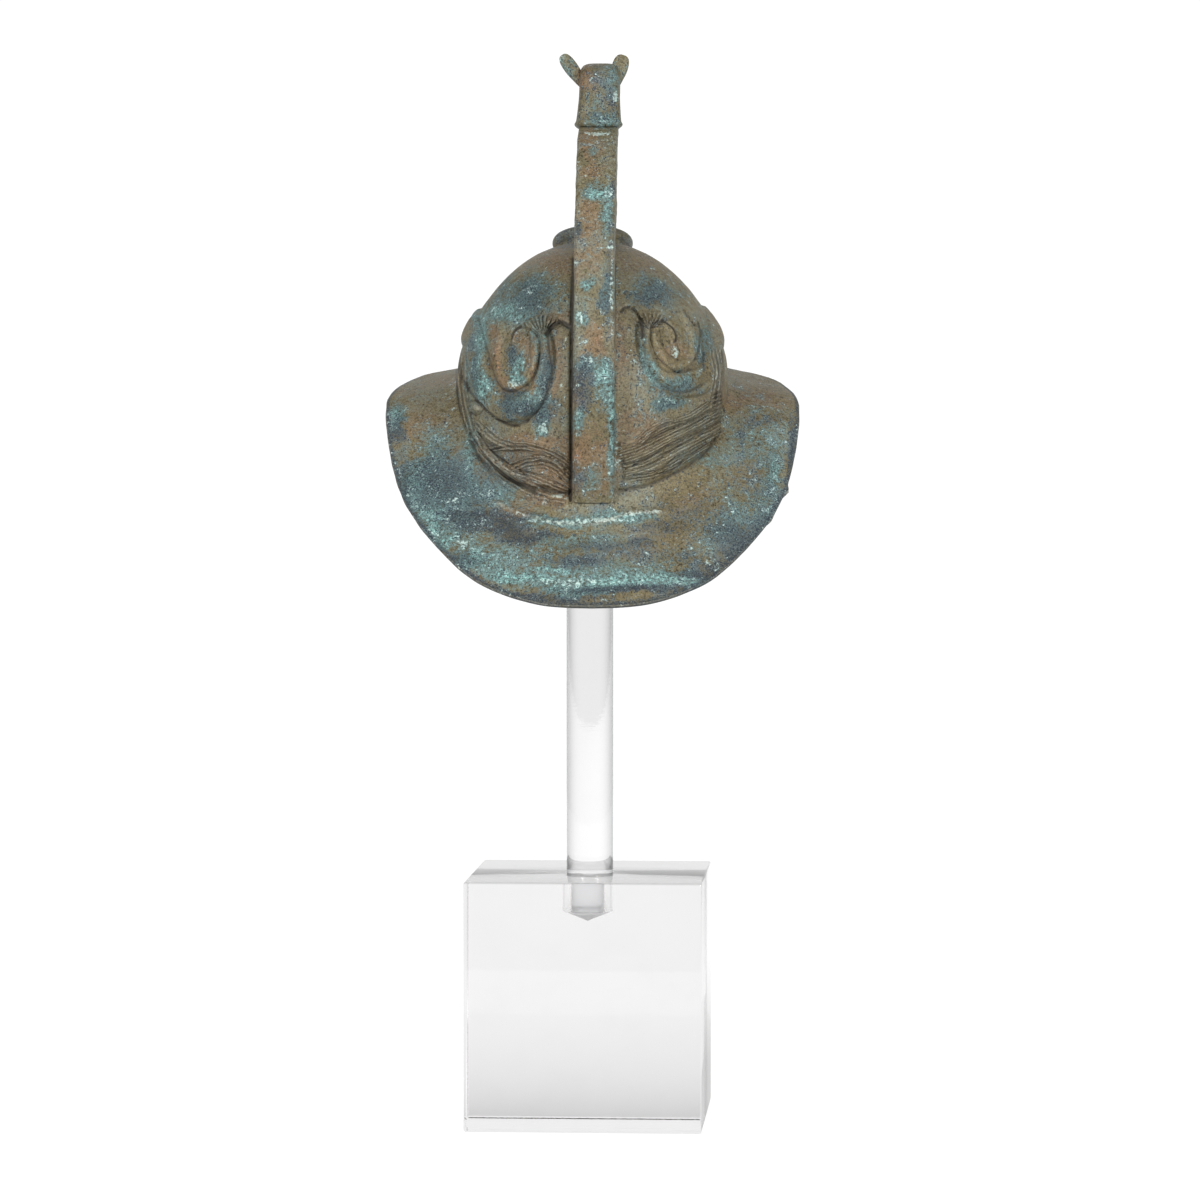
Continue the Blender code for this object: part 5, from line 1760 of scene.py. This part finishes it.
    def build(self, shell: HelmetShell, name: str, side: int) -> bpy.types.Object:
        """Make one leaf.

        Args:
            shell: The shell's sizes.
            name: The leaf's name.
            side: 1 for the leaf towards +X, -1 for the other.

        Returns:
            The leaf.
        """
        angles = np.linspace(self.rear, math.pi - self.parting, self.columns + 1)
        drops = np.linspace(0, 1, self.rows + 1)
        angle, drop = np.meshgrid(angles, drops)
        outside = self.point(shell, side, angle, drop, np.zeros_like(angle))
        inside = self.point(shell, side, angle, drop, np.full_like(angle, self.wall))
        worn = rough(outside.reshape(-1, 3), self.skin_waves).reshape(angle.shape)
        border = smooth_step(drop, 0.0, self.top_border)
        border = border * smooth_step(math.pi - self.parting - angle, 0.0, self.front_border)
        outward = outside - inside
        outside = outside + outward / self.wall * (worn * border)[..., None]
        loop = np.concatenate([outside, inside[:, ::-1], outside[:, :1]], axis=1)
        caps = []
        for row in (0, -1):
            seam = (outside[row] + inside[row]) / 2
            caps.append(np.concatenate([seam, seam[::-1], seam[:1]])[None])
        body = wrapped_grid(POSE.world(np.concatenate([caps[0], loop, caps[1]])))
        made = new_object(name, body, sharp=50)
        eye = self.eye_frame(shell, side)
        boolean(made, self.ring(eye), "UNION")
        boolean(made, self.holes(eye), "DIFFERENCE")
        paint(made, reach=0.5)
        return made


@dataclass
class ClearStand:
    """The clear rod and the clear block that it stands in."""

    rod_sides: int = 96
    rod_rise: float = 3 * MM
    foot_edge: float = 0.4 * MM
    block_edge: float = 0.8 * MM
    block_width: float = 95 * MM
    block_turn: float = math.radians(-3.6)
    rod_sunk: float = 16 * MM
    rod_slack: float = 0.3 * MM
    drill_tip: float = 4 * MM
    drill_lead: float = 5 * MM
    frost_margin: float = 0.1 * MM
    edge_steps: int = 3
    crown_steps: int = 12
    sharp: float = 35.0

    def build_rod(self) -> bpy.types.Object:
        """Make the rod in the place of its plain solid.

        Returns:
            The rod.
        """
        low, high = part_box("stand_rod")
        radius = (high[0] - low[0]) / 2
        crown = [
            (radius * math.sin(turn), high[2] - self.rod_rise * (1 - math.cos(turn)))
            for turn in np.linspace(0, math.pi / 2, self.crown_steps)
        ]
        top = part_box("stand_block")[1][2]
        foot = [
            (radius, top + 2 * self.frost_margin), (radius, top), (radius, low[2] + self.foot_edge),
            (radius - self.foot_edge, low[2]), (0, low[2]),
        ]
        made = new_object("clear_rod", spun([*crown, *foot], self.rod_sides), sharp=self.sharp)
        self.frost(made, top + self.frost_margin, radius + self.rod_slack / 2)
        return made

    def frost(self, made: bpy.types.Object, top: float, radius: float) -> None:
        """Mark what was drilled or sawn and left unpolished.

        Args:
            made: The piece.
            top: The height below which it is unpolished.
            radius: How far from the rod's axis it is unpolished.
        """
        x, y, z = mesh_points(made.data).T
        leave(made.data, "drilled", (z < top) & (np.hypot(x, y) < radius))

    def build_block(self) -> bpy.types.Object:
        """Make the block with its drilled hole in the place of its plain solid.

        Returns:
            The block.
        """
        rod_low, rod_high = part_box("stand_rod")
        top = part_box("stand_block")[1][2]
        body = bmesh.new()
        bmesh.ops.create_cube(body, size=1)
        bmesh.ops.scale(body, verts=body.verts, vec=(self.block_width, self.block_width, top))
        bmesh.ops.translate(body, verts=body.verts, vec=(0, 0, top / 2))
        bmesh.ops.bevel(
            body, geom=body.edges, offset=self.block_edge, segments=self.edge_steps, profile=0.5,
            affect="EDGES", material=-1,
        )
        body.transform(Matrix.Rotation(self.block_turn, 4, "Z"))
        made = new_object("clear_block", body, sharp=self.sharp)
        radius = (rod_high[0] - rod_low[0]) / 2 + self.rod_slack
        floor = top - self.rod_sunk
        above = top + self.drill_lead
        bit = ((0, above), (radius, above), (radius, floor), (0, floor - self.drill_tip))
        boolean(made, new_object("drill", spun(bit, self.rod_sides)), "DIFFERENCE")
        settle(made, sharp=self.sharp)
        self.frost(made, top - self.frost_margin, radius + self.frost_margin)
        return made


@dataclass(frozen=True)
class Softbox:
    """A rectangular soft light."""

    name: str
    place: Triple
    width: float
    height: float
    watts: float
    colour: Triple
    aim: Triple = (0.0, 0.0, 0.28)
    mirrored: bool = True

    def add(self) -> None:
        """Add the light to the scene."""
        data = bpy.data.lights.new(self.name, "AREA")
        data.shape = "RECTANGLE"
        data.size = self.width
        data.size_y = self.height
        data.energy = self.watts
        data.color = self.colour
        made = bpy.data.objects.new(self.name, data)
        made.location = self.place
        direction = Vector(self.aim) - Vector(self.place)
        made.rotation_euler = direction.to_track_quat("-Z", "Y").to_euler()
        made.visible_transmission = False
        made.visible_glossy = self.mirrored
        bpy.context.scene.collection.objects.link(made)


@dataclass
class Studio:
    """A plain pale floor, a white surround and soft lights."""

    floor_half: float = 1.7
    floor_drop: float = 0.3 * MM
    floor_glow: float = 0.93
    near_glow: float = 0.55
    far_glow: float = 0.93
    bounce_glow: float = 0.34
    side_level: float = 0.28
    top_level: float = 0.36
    back_level: float = 0.90
    clear_level: float = 0.66
    seen_level: float = 1.05
    # Distances over the floor, and heights and depths of the view, over which the brightness changes
    glow_span: Pair = (0.10, 0.62)
    top_span: Pair = (0.2, 0.9)
    back_span: Pair = (-0.36, -0.97)
    floor_grey: Triple = (0.12, 0.12, 0.12)
    white: Triple = (1.0, 1.0, 1.0)
    lights: tuple[Softbox, ...] = (
        Softbox("left_softbox", (1.10, 1.45, 0.80), 0.6, 0.6, 25.0, (1.0, 0.985, 0.96)),
        Softbox("right_softbox", (-1.15, 1.50, 0.72), 0.6, 0.6, 29.0, (1.0, 0.99, 0.97)),
        Softbox("top_softbox", (0.1, 0.4, 1.7), 0.9, 0.9, 2.0, (1.0, 1.0, 1.0)),
        Softbox("front_softbox", (0.3, -1.6, 0.9), 0.8, 0.8, 10.0, (1.0, 1.0, 1.0), mirrored=False),
    )

    def floor(self) -> bpy.types.Object:
        """Make the pale floor, bright as a lit table.

        Returns:
            The floor, which is left out of the object's body.
        """
        body = bmesh.new()
        bmesh.ops.create_circle(body, cap_ends=True, segments=96, radius=self.floor_half)
        bmesh.ops.translate(body, verts=body.verts, vec=(0, 0, -self.floor_drop))
        made = new_object("pale_floor", body)
        graph = Graph.material("pale_floor")
        graph.feed(graph.shader["Base Color"], self.floor_grey)
        graph.feed(graph.shader["Roughness"], 0.9)
        graph.feed(graph.shader["Specular IOR Level"], 0.0)
        graph.feed(graph.shader["Emission Color"], self.white)
        away = graph.add("ShaderNodeVectorMath", {0: graph.coordinates}, operation="LENGTH")["Value"]
        through = graph.ramp(away, *self.glow_span, self.near_glow, self.far_glow)
        path = graph.add("ShaderNodeLightPath", {})
        lit = graph.mix_number(path["Is Camera Ray"], through, self.floor_glow)
        lit = graph.mix_number(path["Is Diffuse Ray"], lit, self.bounce_glow)
        graph.feed(graph.shader["Emission Strength"], lit)
        made.data.materials.append(graph.owner)
        return made

    def surround(self) -> None:
        """Make a surround that is white behind the object and darker beside it.

        What is darker shows as a rim on the clear parts.
        """
        graph = Graph(bpy.data.worlds.new("white_surround"), "Background", "Generated")
        axes = graph.add("ShaderNodeSeparateXYZ", {0: graph.coordinates})
        behind = graph.ramp(axes["Y"], *self.back_span, self.side_level, self.back_level)
        above = graph.ramp(axes["Z"], *self.top_span, 0.0, self.top_level)
        through = graph.ramp(axes["Y"], *self.back_span, self.clear_level, self.back_level)
        path = graph.add("ShaderNodeLightPath", {})
        level = graph.mix_number(path["Is Transmission Ray"], graph.math("MAXIMUM", behind, above), through)
        level = graph.mix_number(path["Is Camera Ray"], level, self.seen_level)
        graph.feed(graph.shader["Strength"], level)
        graph.feed(graph.shader["Color"], self.white)
        bpy.context.scene.world = graph.owner

    def build(self) -> None:
        """Make the floor, the surround and the lights."""
        self.floor()
        self.surround()
        for light in self.lights:
            light.add()


def main() -> None:
    """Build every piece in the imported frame, dress it and hand it over."""
    logging.basicConfig(level=logging.INFO, format="%(name)s: %(message)s")
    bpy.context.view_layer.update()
    CAMERA.add()
    Studio().build()
    bpy.context.scene.view_settings.view_transform = "Standard"

    shell_bronze = PatinatedBronze("patinated_shell_bronze").build()
    crest_bronze = PatinatedBronze(
        "patinated_crest_bronze", ground=(0.170, 0.145, 0.076), grey=(0.182, 0.172, 0.114), cloud_scale=55.0,
        mottle_scale=210.0,
    ).build()
    visor_bronze = PatinatedBronze("patinated_visor_bronze", cloud_scale=50.0).build()
    rod_acrylic = ClearAcrylic(
        "clear_rod_acrylic", tint=(0.948, 0.940, 0.942), cloudy=(0.930, 0.925, 0.929), edge_share=1.0,
    ).build()
    block_acrylic = ClearAcrylic("clear_block_acrylic").build()

    sizes = HelmetShell()
    shell = sizes.build()
    hand_over(shell, shell_bronze, Slot.SHELL, "helmet_shell")
    crest_sizes = Crest()
    crest = crest_sizes.build(shell)
    hand_over(crest, crest_bronze, Slot.CREST, "crest")
    head = GriffinHead().build(crest_sizes)
    hand_over(head, crest_bronze, Slot.CREST, "griffin_head")
    medallion = Medallion().build(sizes, shell)
    hand_over(medallion, crest_bronze, Slot.CREST, "front_medallion")
    for node, side in (("visor_left", 1), ("visor_right", -1)):
        leaf = Visor().build(sizes, f"bronze_{node}", side)
        hand_over(leaf, visor_bronze, Slot.VISOR, node)
    stand = ClearStand()
    hand_over(stand.build_rod(), rod_acrylic, Slot.CLEAR, "stand_rod")
    hand_over(stand.build_block(), block_acrylic, Slot.CLEAR, "stand_block")


if __name__ == "__main__":
    main()
